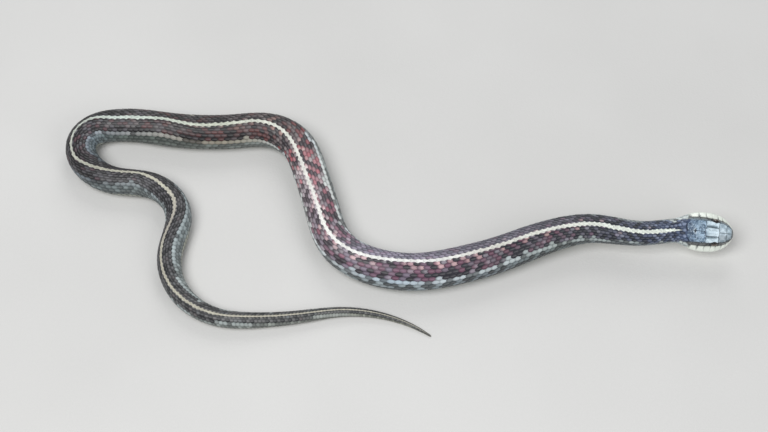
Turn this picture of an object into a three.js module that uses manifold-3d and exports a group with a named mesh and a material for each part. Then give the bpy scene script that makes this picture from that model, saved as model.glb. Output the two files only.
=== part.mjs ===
// A coast garter snake lying in loose bends with its head a little raised, life size, in millimetres.
// +X runs to the right along the head, +Y away from the viewer, +Z up; the belly rests at z = 0.
import * as THREE from "three";
import { mergeVertices } from "three/addons/utils/BufferGeometryUtils.js";
import Module from "manifold-3d";

// The route of the spine, seen from above, from the tip of the snout back to the tip of the tail.
const snoutTip = [149.3, -12.9];
const snoutHeading = 174.5; // degrees, the way back along the body
const bendSpan = 16; // the heading is a mean over this length, so that bends start softly
const bendTaps = 8; // samples in that mean
const routeRuns = [ // length of a run and how far the body turns along it, in degrees
  [19, -1.4], [12, 18.4], [20.5, -29.7], [20, 31.8], [21.5, 9.9], [40, -11], [35, -40], [23, -49],
  [42, 5], [29, 81], [47, -22], [24, 21], [18, 101], [32, 76], [42, -116], [59, 110], [36, 13],
  [60, -58],
];

// Sizes along the body: [distance from the tip of the snout, value].
const bodyLength = 570;
const bodyWidth = [
  [0, 10.6], [32, 10.6], [60, 12.8], [90, 15.3], [120, 16.4], [150, 16.6], [200, 15.8], [260, 16],
  [315, 15.8], [345, 14.3], [385, 12.2], [430, 11.4], [455, 9.4], [490, 7.1], [530, 4.4],
  [556, 2.3], [570, 0.9],
];
const bellyLift = [[0, 6.8], [30, 6.7], [60, 4.2], [88, 1.5], [112, 0], [570, 0]];
const headRoll = [[0, 32], [28, 30], [58, 16], [85, 4], [104, 0], [570, 0]]; // degrees, right side down
const heightShare = 0.98; // half height of the round section over its half width
const bellyLevel = 0.9; // the belly is flat at this share of the half height below the middle

// Places round a section: 0 on the back, 1 at the side, 2 on the belly, and negative on the left side.
// The flesh's corners are closer together on the back than under the belly.
const flatEdge = 1.72; // the belly is level from here to its middle
const halfSection = [0, 0.25, 0.5, 0.75, 1, 1.333, flatEdge];
const bodySection = [-2, ...halfSection.slice(1).reverse().map((q) => -q), ...halfSection];
const ringStep = 7.6; // the longest step between rings of the flesh
const ringTurn = 15; // degrees, the most that the body turns between rings

// The head: half widths and heights from its middle line, before the snout's curves close them in front.
const headEnd = 25;
const lipHalf = [[0, 8.8], [9, 8.9], [13, 8.9], [16, 8.7], [18.5, 8.1], [21, 7.3], [25, 6.1], [30, 5.4]];
const browHalf = [[0, 4.45], [9, 4.5], [12, 4.8], [16, 5], [21, 4.8], [30, 3.2]];
const crownTop = [[0, 4.2], [5, 4.4], [9, 4.75], [14, 4.95], [20, 5], [30, 5.1]];
const mouthLevel = [[0, -1.5], [5, -1.6], [9, -1.5], [14, -1.9], [18, -1.5], [22, -0.5], [30, 0]];
const chinDepth = [[0, 3.9], [6, 4.2], [12, 4.8], [20, 5], [30, 4.9]];
const snoutReach = { lip: 11.5, brow: 8, crown: 7, mouth: 2, chin: 7 }; // how far back each curve ends
// Corners of the head's section: shares of the brow and the lip across, of the crown and the mouth upwards.
const crownToLip = [
  [0, 0, 1, 0], [0.56, 0, 0.97, 0], [1, 0, 0.81, 0], [0.7, 0.31, 0.44, 0.28], [0.14, 0.86, 0.07, 0.34],
  [0, 0.985, 0, 1],
];
// Below the mouth: shares of the lip across, and of the mouth and the chin downwards.
const lipToChin = [[0.94, 1, 0], [0.89, 0.7, 0.3], [0.71, 0.25, 0.75], [0.38, 0, 0.98], [0, 0, 1]];
const neckBlend = [18.5, 29]; // the head's section turns into the body's round one between these
const snoutFace = 0.04; // the first ring of the head
const headPlaces = [0.4, 1.2, 2.6, 4.6, 7.4, 10.8, 14.4, 18];
const jawTip = 0.8;
const jawEnd = 21.6;
const jawStep = 0.5; // the head closes behind the lower jaw over this length
const nape = 23.5; // the last ring before the head's end
const headSides = 20;

const eyeAt = { along: 8.4, across: 4, up: 2.15 };
const eyeRadius = 1.95;
const nostrilAt = { along: 2.1, around: 0.47 };
const nostrilRadius = 0.42;

// Head shields: the middle's distance along the head, its place round the section, and the half sizes.
// Those with a middle at 0 or 2 cross the middle line, and the others come in pairs.
const shields = {
  rostral: [0.1, 0, 0.75, 1.2],
  internasal: [1.75, 0.17, 0.75, 0.17],
  prefrontal: [4.2, 0.2, 1.75, 0.2],
  frontal: [9, 0, 3, 0.17],
  supraocular: [9, 0.31, 2.7, 0.13],
  parietal: [15.8, 0.2, 3.9, 0.2],
  nasalFront: [1.7, 0.47, 0.55, 0.15],
  nasalRear: [2.9, 0.47, 0.6, 0.14],
  loreal: [4.4, 0.49, 0.9, 0.11],
  preocular: [5.9, 0.49, 0.6, 0.12],
  eyeOpening: [8.4, 0.5, 1.9, 0.115],
  postocularHigh: [11.1, 0.42, 0.7, 0.04],
  postocularMiddle: [11.2, 0.49, 0.7, 0.04],
  postocularLow: [11.1, 0.56, 0.7, 0.04],
  temporalFront: [13.3, 0.49, 1.6, 0.1],
  temporalHigh: [16.6, 0.44, 1.6, 0.055],
  temporalLow: [16.6, 0.55, 1.6, 0.055],
  temporalRear: [19.3, 0.49, 1.2, 0.1],
  upperLip1: [1, 0.8, 0.65, 0.19],
  upperLip2: [2.4, 0.79, 0.75, 0.18],
  upperLip3: [4.1, 0.78, 0.95, 0.18],
  upperLip4: [6.2, 0.78, 1.1, 0.17],
  upperLip5: [8.5, 0.79, 1.1, 0.17],
  upperLip6: [10.9, 0.79, 1.3, 0.17],
  upperLip7: [13.8, 0.78, 1.6, 0.18],
  upperLip8: [17.3, 0.78, 1.8, 0.18],
  mental: [1.1, 2, 0.5, 1.2],
  lowerLip1: [2, 1.3, 0.6, 0.2],
  lowerLip2: [3.1, 1.2, 0.8, 0.15],
  lowerLip3: [4.8, 1.18, 0.95, 0.15],
  lowerLip4: [6.9, 1.18, 1.1, 0.15],
  lowerLip5: [9.2, 1.18, 1.2, 0.15],
  lowerLip6: [11.8, 1.18, 1.4, 0.15],
  lowerLip7: [14.7, 1.18, 1.5, 0.15],
  lowerLip8: [17.9, 1.18, 1.7, 0.15],
  chinShieldFront: [4.4, 1.8, 2.1, 0.2],
  chinShieldRear: [9, 1.78, 2.4, 0.2],
  chinSideFront: [7.6, 1.48, 2.2, 0.11],
  chinSideRear: [12.4, 1.5, 2.4, 0.13],
  gularFront: [13.6, 1.8, 1.9, 0.18],
  gularRear: [17.6, 1.72, 2, 0.24],
};
const shieldPower = 4; // how square the shields are
const shieldGroove = 0.12; // each shield ends this far from the seam
const shieldRise = 0.22;
const shieldBevel = 0.05; // its rim is this much lower than its middle
const shieldRoot = 0.6; // how deep a plate is sunk in the flesh, less in the thin tip of the snout:
const shieldTipRoot = 0.12; // there it is this and the next share of the distance from the tip
const shieldTipSlope = 0.2;
const shieldCorners = 8;
const upperRange = [0.08, 21.2]; // along the head
const lowerRange = [0.85, 21.2];
const upperLimits = [-0.97, 0.97]; // round the section, short of the mouth line
const lowerLimits = [1.04, 2.96];
const outlineRays = 40;
const outlineStep = 0.02; // of a shield's half size
const outlineReach = 1.9;

// Belly scutes: one across the belly from flank to flank, in pairs behind the vent.
const scuteEdge = 1.333; // the section's place where the scutes end on the flank
const subcaudalEdge = 1.96; // the paired scutes end here, just short of the tail's middle line
const scuteRise = 0.3;
const scuteRoot = 0.6;
const scuteLength = 0.36; // of one scute along the body, over the half width there
const scuteSpacing = 6.6; // at least this far apart, where the real ones follow each other closely
const scuteRange = [30, 560];
const ventAt = 434;

const gap = 0.3; // between nodes that touch
const neckEnd = 60;
const torsoCuts = [60, 100, 140, 178, 218, 256, 296, 332, 356, 394, 434];
const tailCuts = [434, 478, 524, 570];

const wasm = await Module();
wasm.setup();

const radians = THREE.MathUtils.degToRad;

// A smooth curve through [place, value] pairs, of cubic pieces. Each slope is that of the chord between the
// neighbours, or level where the values turn back or stay the same.
function along(table, place) {
  const last = table.length - 1;
  const at = THREE.MathUtils.clamp(place, table[0][0], table[last][0]);
  let i = 0;
  while (i < last - 1 && at > table[i + 1][0]) i++;
  const slope = (k) => {
    const low = Math.max(k - 1, 0);
    const high = Math.min(k + 1, last);
    const turns = (table[high][1] - table[k][1]) * (table[k][1] - table[low][1]) <= 0;
    if (turns && low < k && k < high) return 0;
    return (table[high][1] - table[low][1]) / (table[high][0] - table[low][0]);
  };
  const span = table[i + 1][0] - table[i][0];
  const f = (at - table[i][0]) / span;
  const rise = table[i + 1][1] - table[i][1];
  const start = slope(i) * span;
  const end = slope(i + 1) * span;
  return table[i][1] + f * (start + f * (3 * rise - 2 * start - end + f * (start + end - 2 * rise)));
}

// The heading of the body in radians, the mean of the run table over the bend span.
function headingAt(s) {
  let sum = 0;
  for (let tap = 0; tap < bendTaps; tap++) {
    let left = s + ((tap + 0.5) / bendTaps - 0.5) * bendSpan;
    for (const [length, turn] of routeRuns) {
      sum += turn * THREE.MathUtils.clamp(left / length, 0, 1);
      left -= length;
    }
  }
  return radians(snoutHeading + sum / bendTaps);
}

// The spine in steps of a millimetre: x and y, added up along the heading.
const spine = [new THREE.Vector2(...snoutTip)];
for (let s = 0; s <= bodyLength; s++) {
  const heading = headingAt(s + 0.5);
  spine.push(spine[s].clone().add(new THREE.Vector2(Math.cos(heading), Math.sin(heading))));
}

const halfWidth = (s) => along(bodyWidth, s) / 2;
const halfHeight = (s) => halfWidth(s) * heightShare;
const axisHeight = (s) => along(bellyLift, s) + bellyLevel * halfHeight(s);

// The body's own axes at s: its middle, the way to the tail, and its right side and back after the roll.
function frameAt(s) {
  const whole = Math.floor(s);
  const flat = spine[whole].clone().lerp(spine[whole + 1], s - whole);
  const middle = new THREE.Vector3(flat.x, flat.y, axisHeight(s));
  const heading = headingAt(s);
  const climb = axisHeight(s + 0.5) - axisHeight(s - 0.5);
  const back = new THREE.Vector3(Math.cos(heading), Math.sin(heading), climb).normalize();
  const level = new THREE.Vector3(-Math.sin(heading), Math.cos(heading), 0);
  const upright = new THREE.Vector3().crossVectors(back, level);
  const roll = radians(along(headRoll, s));
  const up = upright.clone().multiplyScalar(Math.cos(roll)).addScaledVector(level, Math.sin(roll));
  const right = level.multiplyScalar(Math.cos(roll)).addScaledVector(upright, -Math.sin(roll));
  return { middle, back, right, up };
}

// A point of a section, from how far it lies to the right and up.
function sectionPoint(frame, [u, v]) {
  return frame.middle.clone().addScaledVector(frame.right, u).addScaledVector(frame.up, v);
}

// The round section with its flat belly. The offset moves it outwards.
function roundSection(s, q, offset) {
  const angle = (q * Math.PI) / 2;
  const low = -bellyLevel * halfHeight(s) - offset;
  const u = (halfWidth(s) + offset) * Math.sin(angle);
  return [u, Math.max((halfHeight(s) + offset) * Math.cos(angle), low)];
}

// How far a curve of the snout has opened at t: a quarter of an ellipse that ends at its reach.
const opened = (t, reach) => Math.sqrt(1 - (1 - Math.min(t / reach, 1)) ** 2);

// The head's section: a smooth curve over the crown, brow, cheek and lip down to the mouth line at 1,
// and another from there round the jaw to the chin.
function headSection(t, q) {
  const lip = along(lipHalf, t) * opened(t, snoutReach.lip);
  const brow = along(browHalf, t) * opened(t, snoutReach.brow);
  const crown = along(crownTop, t) * opened(t, snoutReach.crown);
  const mouth = along(mouthLevel, t) * opened(t, snoutReach.mouth);
  const chin = -along(chinDepth, t) * opened(t, snoutReach.chin);
  const side = Math.abs(q);
  const corners = side <= 1
    ? crownToLip.map(([b, l, c, m]) => [b * brow + l * lip, c * crown + m * mouth])
    : lipToChin.map(([l, m, c]) => [l * lip, m * mouth + c * chin]);
  const coordinate = (axis) => {
    const curve = corners.map((corner, k) => [k / (corners.length - 1), corner[axis]]);
    return along(curve, side <= 1 ? side : side - 1);
  };
  return [Math.sign(q) * coordinate(0), coordinate(1)];
}

// A point of the head's surface, which turns into the body's round one behind the jaws.
function headPoint(t, q) {
  const place = q > 2 ? q - 4 : q;
  const head = headSection(t, place);
  const round = roundSection(t, place, 0);
  const blend = THREE.MathUtils.smoothstep(t, ...neckBlend);
  return sectionPoint(frameAt(t), head.map((value, k) => THREE.MathUtils.lerp(value, round[k], blend)));
}

// The same point moved outwards by the offset. Near the mouth line the slope is taken on its own side.
function headPointOut(t, q, offset) {
  const step = 0.03;
  const side = q > 2 ? 4 - q : Math.abs(q);
  const inner = side <= 1 ? Math.min(side, 1 - step) : Math.max(side, 1 + step);
  const place = q > 2 ? 4 - inner : Math.sign(q) * inner;
  const lengthwise = headPoint(t + step, place).sub(headPoint(Math.max(t - step, step / 3), place));
  const crosswise = headPoint(t, place + step / 2).sub(headPoint(t, place - step / 2));
  const outward = lengthwise.cross(crosswise).normalize();
  return headPoint(t, q).addScaledVector(outward, offset);
}

// A point of the body's surface. The head's form still shows on the first of the neck.
function bodyPoint(s, q, offset) {
  if (s < neckBlend[1]) return headPoint(s, q);
  return sectionPoint(frameAt(s), roundSection(s, q, offset));
}

// Points and triangles, or a whole geometry, as a solid that can be joined and cut.
function solidOf(points, faces) {
  return solidOfGeometry(new THREE.BufferGeometry().setFromPoints(points).setIndex(faces));
}

function solidOfGeometry(geometry) {
  geometry.deleteAttribute("normal");
  geometry.deleteAttribute("uv");
  const merged = mergeVertices(geometry, 1e-4);
  return new wasm.Manifold(new wasm.Mesh({
    numProp: 3,
    vertProperties: new Float32Array(merged.attributes.position.array),
    triVerts: new Uint32Array(merged.index.array),
  }));
}

// The largest closed surface of a solid, as a geometry.
function geometryOf(solid) {
  const largest = solid.decompose().reduce((a, b) => (b.volume() > a.volume() ? b : a));
  const mesh = largest.getMesh();
  const geometry = new THREE.BufferGeometry();
  geometry.setAttribute("position", new THREE.BufferAttribute(new Float32Array(mesh.vertProperties), 3));
  geometry.setIndex(new THREE.BufferAttribute(new Uint32Array(mesh.triVerts), 1));
  geometry.computeVertexNormals();
  return geometry;
}

const joined = (solids) => solids.reduce((a, b) => a.add(b));

// A closed solid through rings of points that all turn the same way, with a fan over each end.
function loft(rings) {
  const count = rings[0].length;
  const points = rings.flat();
  const faces = [];
  for (let i = 0; i + 1 < rings.length; i++) {
    for (let j = 0; j < count; j++) {
      const a = i * count + j;
      const b = i * count + ((j + 1) % count);
      faces.push(a, b + count, b, a, a + count, b + count);
    }
  }
  for (const end of [0, rings.length - 1]) {
    points.push(rings[end].reduce((sum, p) => sum.add(p), new THREE.Vector3()).divideScalar(count));
    for (let j = 0; j < count; j++) {
      const a = end * count + j;
      const b = end * count + ((j + 1) % count);
      faces.push(...(end === 0 ? [points.length - 1, a, b] : [points.length - 1, b, a]));
    }
  }
  return solidOf(points, faces);
}

// Places of the rings between two cuts: closer together where the body turns more.
function ringPlaces(from, to) {
  let turned = 0;
  for (let s = from; s < to; s++) turned += Math.abs(headingAt(s + 1) - headingAt(s));
  const steps = Math.max(Math.ceil((to - from) / ringStep), Math.ceil(turned / radians(ringTurn)));
  return Array.from({ length: steps + 1 }, (_, k) => from + ((to - from) * k) / steps);
}

// A belly scute between two places along the body, over some places round the section, its root sunk in
// the flesh.
function scuteSolid(front, rear, places) {
  const root = Math.min(scuteRise + scuteRoot, halfWidth(rear) / 2);
  return loft([front, rear].map((s) => {
    const outer = places.map((q) => bodyPoint(s, q, 0));
    const inner = places.map((q) => bodyPoint(s, q, -root));
    return [...outer, ...inner.reverse()];
  }));
}

// The scutes between two cuts, in the middle of every step between rings that leaves them room.
function scuteSolids(places) {
  const solids = [];
  let last = places[0] - scuteSpacing;
  for (let k = 0; k + 1 < places.length; k++) {
    const middle = (places[k] + places[k + 1]) / 2;
    if (middle - last < scuteSpacing || middle < scuteRange[0] || middle > scuteRange[1]) continue;
    last = middle;
    const half = (scuteLength * halfWidth(middle)) / 2;
    const ends = [middle - half, middle + half];
    if (middle > ventAt) {
      solids.push(scuteSolid(...ends, [scuteEdge, flatEdge, subcaudalEdge]));
      solids.push(scuteSolid(...ends, [4 - subcaudalEdge, 4 - flatEdge, 4 - scuteEdge]));
    } else {
      solids.push(scuteSolid(...ends, [scuteEdge, flatEdge, 4 - flatEdge, 4 - scuteEdge]));
    }
  }
  return solids;
}

// One length of the body with its scutes, its ends flat and half a gap short of the cuts.
function bodyLengthSolid(from, to) {
  const places = ringPlaces(from, to);
  const insetAt = (s) => (s === from ? gap / 2 : 0) - (s === to && to < bodyLength ? gap / 2 : 0);
  const rings = places.map((s) => bodySection.map((q) => {
    const offset = Math.abs(q) > scuteEdge ? -scuteRise : 0;
    return bodyPoint(s, q, Math.max(offset, -halfWidth(s) / 3)).addScaledVector(frameAt(s).back, insetAt(s));
  }));
  return joined([loft(rings), ...scuteSolids(places)]);
}

// How far a point is from a shield's middle, in half sizes of that shield.
function shieldDistance([t, q, halfT, halfQ], at, place) {
  return ((at - t) / halfT) ** shieldPower + ((place - q) / halfQ) ** shieldPower;
}

// Every shield and its mirror images across the crown and the chin.
const shieldImages = Object.entries(shields).flatMap(([name, [t, q, halfT, halfQ]]) => {
  const sides = q === 0 || q === 2 ? [q] : [q, -q, 4 - q];
  return sides.map((side) => ({ name, seed: [t, side, halfT, halfQ] }));
});

function nearestShield(at, place) {
  const distance = (image) => shieldDistance(image.seed, at, place);
  return shieldImages.reduce((a, b) => (distance(b) < distance(a) ? b : a));
}

// The outline of a shield: rays from its middle end at the seam, where another shield is nearer.
// Its flattest corners are then dropped until few enough are left.
function shieldOutline(image, limits) {
  const [t, q, halfT, halfQ] = image.seed;
  const range = limits === upperLimits ? upperRange : lowerRange;
  const isOwn = ([at, place]) =>
    at > range[0] && at < range[1] && place > limits[0] && place < limits[1]
    && nearestShield(at, place) === image;
  const outline = [];
  for (let ray = 0; ray < outlineRays; ray++) {
    const angle = (ray * 2 * Math.PI) / outlineRays;
    const at = (reach) => [t + reach * halfT * Math.cos(angle), q + reach * halfQ * Math.sin(angle)];
    let reach = outlineStep;
    while (reach < outlineReach && isOwn(at(reach + outlineStep))) reach += outlineStep;
    const size = headPoint(...at(reach)).distanceTo(headPoint(t, q));
    outline.push(at(reach * Math.max(1 - shieldGroove / size, 0.5)));
  }
  while (outline.length > shieldCorners) {
    const count = outline.length;
    const area = (k) => {
      const [a, b, c] = [outline[(k + count - 1) % count], outline[k], outline[(k + 1) % count]];
      return Math.abs((b[0] - a[0]) * (c[1] - a[1]) - (c[0] - a[0]) * (b[1] - a[1]));
    };
    const flattest = outline.map((_, k) => k).reduce((a, b) => (area(b) < area(a) ? b : a));
    outline.splice(flattest, 1);
  }
  return outline;
}

// One raised shield: a slightly domed plate on its outline, with its root sunk in the flesh.
function shieldSolid(image, limits) {
  const [t, q] = image.seed;
  const outline = shieldOutline(image, limits);
  const count = outline.length;
  const root = Math.min(shieldRoot, shieldTipRoot + shieldTipSlope * t);
  const ring = (share, offset) => outline.map(([at, place]) =>
    headPointOut(t + (at - t) * share, q + (place - q) * share, offset));
  const points = [
    headPointOut(t, q, 0), ...ring(0.55, 0), ...ring(1, -shieldBevel), ...ring(0.97, -shieldRise - root / 2),
    headPointOut(t, q, -shieldRise - root),
  ];
  const faces = [];
  for (let k = 0; k < count; k++) {
    const next = (k + 1) % count;
    faces.push(0, 1 + k, 1 + next);
    for (const first of [1, 1 + count]) {
      faces.push(first + k, first + count + k, first + count + next);
      faces.push(first + k, first + count + next, first + next);
    }
    faces.push(points.length - 1, 1 + 2 * count + next, 1 + 2 * count + k);
  }
  return solidOf(points, faces);
}

function shieldSolids(limits) {
  const isBuilt = ({ name, seed }) => name !== "eyeOpening" && seed[1] > limits[0] && seed[1] < limits[1];
  return shieldImages.filter(isBuilt).map((image) => shieldSolid(image, limits));
}

// A closed ring of a jaw: the outside from lip to lip over the crown or under the chin, and back along
// the mouth. Behind the lower jaw the upper one's ring closes round the throat instead.
function jawRing(t, part) {
  const half = headSides / 2;
  const isUpper = part === "upper";
  const closed = isUpper && t > jawEnd + jawStep / 2;
  const offset = t < jawEnd + jawStep ? -shieldRise : 0;
  const first = isUpper ? -1 : 1;
  const ring = Array.from({ length: half + 1 }, (_, j) => headPointOut(t, first + (2 * j) / half, offset));
  if (!closed) {
    for (const lip of [ring[0], ring[half]]) lip.addScaledVector(frameAt(t).up, isUpper ? gap / 2 : -gap / 2);
  }
  for (let j = 1; j < half; j++) {
    ring.push(closed ? headPointOut(t, 1 + (2 * j) / half, 0) : ring[half].clone().lerp(ring[0], j / half));
  }
  return ring;
}

function ballSolid(centre, radius) {
  const ball = new THREE.SphereGeometry(radius, 20, 10);
  ball.translate(centre.x, centre.y, centre.z);
  return solidOfGeometry(ball);
}

const eyeCentre = (side) => sectionPoint(frameAt(eyeAt.along), [side * eyeAt.across, eyeAt.up]);

// The head with the upper jaw: its shields, eye sockets and nostrils.
function headSolid() {
  const places = [snoutFace, ...headPlaces, jawEnd, jawEnd + jawStep, nape];
  const back = frameAt(headEnd).back;
  const rings = places.map((t) => jawRing(t, "upper"));
  rings.push(jawRing(headEnd, "upper").map((point) => point.addScaledVector(back, -gap / 2)));
  let head = joined([loft(rings), ...shieldSolids(upperLimits)]);
  for (const side of [-1, 1]) {
    head = head.subtract(ballSolid(eyeCentre(side), eyeRadius + gap));
    head = head.subtract(ballSolid(headPoint(nostrilAt.along, side * nostrilAt.around), nostrilRadius));
  }
  return head;
}

function lowerJawSolid() {
  const places = [jawTip, ...headPlaces.slice(1), jawEnd - gap];
  return joined([loft(places.map((t) => jawRing(t, "lower"))), ...shieldSolids(lowerLimits)]);
}

const slate = new THREE.MeshStandardMaterial({ color: 0x5f6c78, roughness: 0.35, metalness: 0 });
const cream = new THREE.MeshStandardMaterial({ color: 0xe2e4d6, roughness: 0.4, metalness: 0 });
const eyeBlack = new THREE.MeshStandardMaterial({ color: 0x1a1410, roughness: 0.05, metalness: 0 });
const checkered = new THREE.MeshStandardMaterial({ color: 0x6b3a38, roughness: 0.5, metalness: 0 });

const snake = new THREE.Group();

function addNode(name, solid, material) {
  const mesh = new THREE.Mesh(geometryOf(solid), material);
  mesh.name = name;
  snake.add(mesh);
}

addNode("head", headSolid(), slate);
addNode("lower_jaw", lowerJawSolid(), cream);
addNode("eye_left", ballSolid(eyeCentre(-1), eyeRadius), eyeBlack);
addNode("eye_right", ballSolid(eyeCentre(1), eyeRadius), eyeBlack);
addNode("neck", bodyLengthSolid(headEnd, neckEnd), checkered);
for (let k = 1; k < torsoCuts.length; k++) {
  addNode("torso_" + k, bodyLengthSolid(torsoCuts[k - 1], torsoCuts[k]), checkered);
}
for (let k = 1; k < tailCuts.length; k++) {
  addNode("tail_" + k, bodyLengthSolid(tailCuts[k - 1], tailCuts[k]), checkered);
}

export default snake;
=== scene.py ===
import math

import bpy
import numpy as np
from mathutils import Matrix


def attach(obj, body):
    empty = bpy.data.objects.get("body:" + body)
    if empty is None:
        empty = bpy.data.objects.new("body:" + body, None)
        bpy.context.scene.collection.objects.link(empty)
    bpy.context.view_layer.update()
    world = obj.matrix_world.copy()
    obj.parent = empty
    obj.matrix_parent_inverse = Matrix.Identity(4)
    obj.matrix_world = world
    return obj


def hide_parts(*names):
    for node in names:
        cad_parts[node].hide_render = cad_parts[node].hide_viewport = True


# A coast garter snake, life size. Lengths below are millimetres, s and t along the body from the tip of the
# snout. Places round the body, q, run from 0 on the back through 1 at the right side to 2 on the belly, and
# are negative on the left.
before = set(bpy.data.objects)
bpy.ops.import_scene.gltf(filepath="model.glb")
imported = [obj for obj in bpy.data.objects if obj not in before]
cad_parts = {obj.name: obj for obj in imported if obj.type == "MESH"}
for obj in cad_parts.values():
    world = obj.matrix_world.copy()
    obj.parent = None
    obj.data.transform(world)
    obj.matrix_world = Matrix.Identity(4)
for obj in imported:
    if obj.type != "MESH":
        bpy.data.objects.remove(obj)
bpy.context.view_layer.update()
random = np.random.default_rng(41)
millimetre = 0.001
print("frame loaded:", len(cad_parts), "solids")

view = {
    "place": (-0.0031, -0.3560, 0.5346),
    "tilt": 34,  # degrees away from straight down
    "lens": 67.18,
    "sensor": 36,
    "clip": (0.01, 20),
}


def addObject(name, data):
    # A new object at the origin that holds the data.
    made = bpy.data.objects.new(name, data)
    bpy.context.scene.collection.objects.link(made)
    return made


def makeCamera():
    # A level camera in front of the snake, which looks down on it.
    data = bpy.data.cameras.new("viewCamera")
    data.lens, data.sensor_width = view["lens"], view["sensor"]
    data.clip_start, data.clip_end = view["clip"]
    camera = addObject("viewCamera", data)
    camera.location = view["place"]
    camera.rotation_euler = (math.radians(view["tilt"]), 0, 0)
    bpy.context.scene.camera = camera


makeCamera()

# The form of the body, the same as that of its solids.
bodyForm = {
    "length": 570,
    "snoutTip": (149.3, -12.9),
    "snoutHeading": 174.5,
    "bendSpan": 16,
    "bendTaps": 8,
    "runs": [  # length of a run, and how many degrees the body turns along it
        (19, -1.4), (12, 18.4), (20.5, -29.7), (20, 31.8), (21.5, 9.9), (40, -11), (35, -40), (23, -49), (42, 5),
        (29, 81), (47, -22), (24, 21), (18, 101), (32, 76), (42, -116), (59, 110), (36, 13), (60, -58),
    ],
    "width": [
        (0, 10.6), (32, 10.6), (60, 12.8), (90, 15.3), (120, 16.4), (150, 16.6), (200, 15.8), (260, 16),
        (315, 15.8), (345, 14.3), (385, 12.2), (430, 11.4), (455, 9.4), (490, 7.1), (530, 4.4), (556, 2.3),
        (570, 0.9),
    ],
    "lift": [(0, 6.8), (30, 6.7), (60, 4.2), (88, 1.5), (112, 0), (570, 0)],
    "roll": [(0, 32), (28, 30), (58, 16), (85, 4), (104, 0), (570, 0)],  # degrees, right side down
    "height": 0.98,  # of the width
    "belly": 0.9,  # level at this share of the half height below the middle
}
headForm = {
    "lip": [(0, 8.8), (9, 8.9), (13, 8.9), (16, 8.7), (18.5, 8.1), (21, 7.3), (25, 6.1), (30, 5.4)],
    "brow": [(0, 4.45), (9, 4.5), (12, 4.8), (16, 5), (21, 4.8), (30, 3.2)],
    "crown": [(0, 4.2), (5, 4.4), (9, 4.75), (14, 4.95), (20, 5), (30, 5.1)],
    "mouth": [(0, -1.5), (5, -1.6), (9, -1.5), (14, -1.9), (18, -1.5), (22, -0.5), (30, 0)],
    "chin": [(0, 3.9), (6, 4.2), (12, 4.8), (20, 5), (30, 4.9)],
    "reach": {"lip": 11.5, "brow": 8, "crown": 7, "mouth": 2, "chin": 7},
    "crownToLip": [  # shares of brow, lip, crown and mouth, from the crown to the mouth line
        (0, 0, 1, 0), (0.56, 0, 0.97, 0), (1, 0, 0.81, 0), (0.7, 0.31, 0.44, 0.28), (0.14, 0.86, 0.07, 0.34),
        (0, 0.985, 0, 1),
    ],
    "lipToChin": [  # shares of lip, mouth and chin, from the mouth line to the chin
        (0.94, 1, 0), (0.89, 0.7, 0.3), (0.71, 0.25, 0.75), (0.38, 0, 0.98), (0, 0, 1),
    ],
    "blend": (18.5, 29),  # the head's section turns into the round one between these
    "jawEnd": 21.4,
    "eye": {"along": 8.4, "across": 4, "up": 2.15, "radius": 1.95},
    "nostril": {"along": 2.1, "around": 0.47, "radius": 0.3},
}


def slopesOf(marks, values):
    # The chord between a mark's neighbours, or level where the values turn back or stay the same.
    steps = np.diff(values, axis=0) / np.diff(marks, axis=0)
    slope = np.concatenate([steps[:1], (values[2:] - values[:-2]) / (marks[2:] - marks[:-2]), steps[-1:]])
    slope[1:-1][steps[1:] * steps[:-1] <= 0] = 0
    return slope


def hermite(share, low, high, start, end):
    # The cubic between two values with the given slopes at its ends.
    rise = high - low
    return low + share * (start + share * (3 * rise - 2 * start - end + share * (start + end - 2 * rise)))


def along(table, place):
    # A smooth curve through [place, value] pairs, of cubic pieces.
    marks, values = np.array(table, float).T
    slope = slopesOf(marks, values)
    at = np.clip(place, marks[0], marks[-1])
    i = np.clip(np.searchsorted(marks, at) - 1, 0, len(marks) - 2)
    span = marks[i + 1] - marks[i]
    return hermite((at - marks[i]) / span, values[i], values[i + 1], slope[i] * span, slope[i + 1] * span)


def throughCorners(corners, place):
    # The same smooth curve through evenly spaced rows of values, one column for each place from 0 to 1.
    last = len(corners) - 1
    slope = slopesOf(np.arange(last + 1.0)[:, None], corners)
    scaled = np.clip(place, 0, 1) * last
    i = np.clip(np.ceil(scaled).astype(int) - 1, 0, last - 1)
    column = np.arange(len(place))
    return hermite(scaled - i, corners[i, column], corners[i + 1, column], slope[i, column], slope[i + 1, column])


def smoothstep(low, high, value):
    # 0 below low, 1 above high, and a smooth s between them.
    share = np.clip((value - low) / (high - low), 0, 1)
    return share * share * (3 - 2 * share)


def unit(vectors):
    # Each vector over its own length.
    return vectors / np.maximum(np.linalg.norm(vectors, axis=-1, keepdims=True), 1e-12)


def wrapped(q):
    # The same place round the body, from -2 to 2.
    return (q + 2) % 4 - 2


def headingAlong(s):
    # The mean over the bend span of the turns passed, added to the snout's heading.
    taps = (np.arange(bodyForm["bendTaps"]) + 0.5) / bodyForm["bendTaps"] - 0.5
    left = s[:, None] + taps * bodyForm["bendSpan"]
    turned = np.zeros_like(left)
    for length, turn in bodyForm["runs"]:
        turned += turn * np.clip(left / length, 0, 1)
        left = left - length
    return np.radians(bodyForm["snoutHeading"] + turned.mean(axis=1))


# The spine: headings in quarter millimetres, and places in whole ones, added up along the heading.
fineMarks = np.arange(0, bodyForm["length"] + 1.5, 0.25)
fineHeadings = headingAlong(fineMarks)
wholeMarks = np.arange(bodyForm["length"] + 2.0)
stepHeadings = headingAlong(wholeMarks[:-1] + 0.5)
spineSteps = np.pad([np.cos(stepHeadings), np.sin(stepHeadings)], ((0, 0), (1, 0)))
spineX, spineY = np.array(bodyForm["snoutTip"])[:, None] + np.cumsum(spineSteps, axis=1)
fineWidths = along(bodyForm["width"], fineMarks) / 2
fineLifts = along(bodyForm["lift"], fineMarks)
fineRolls = np.radians(along(bodyForm["roll"], fineMarks))


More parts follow.
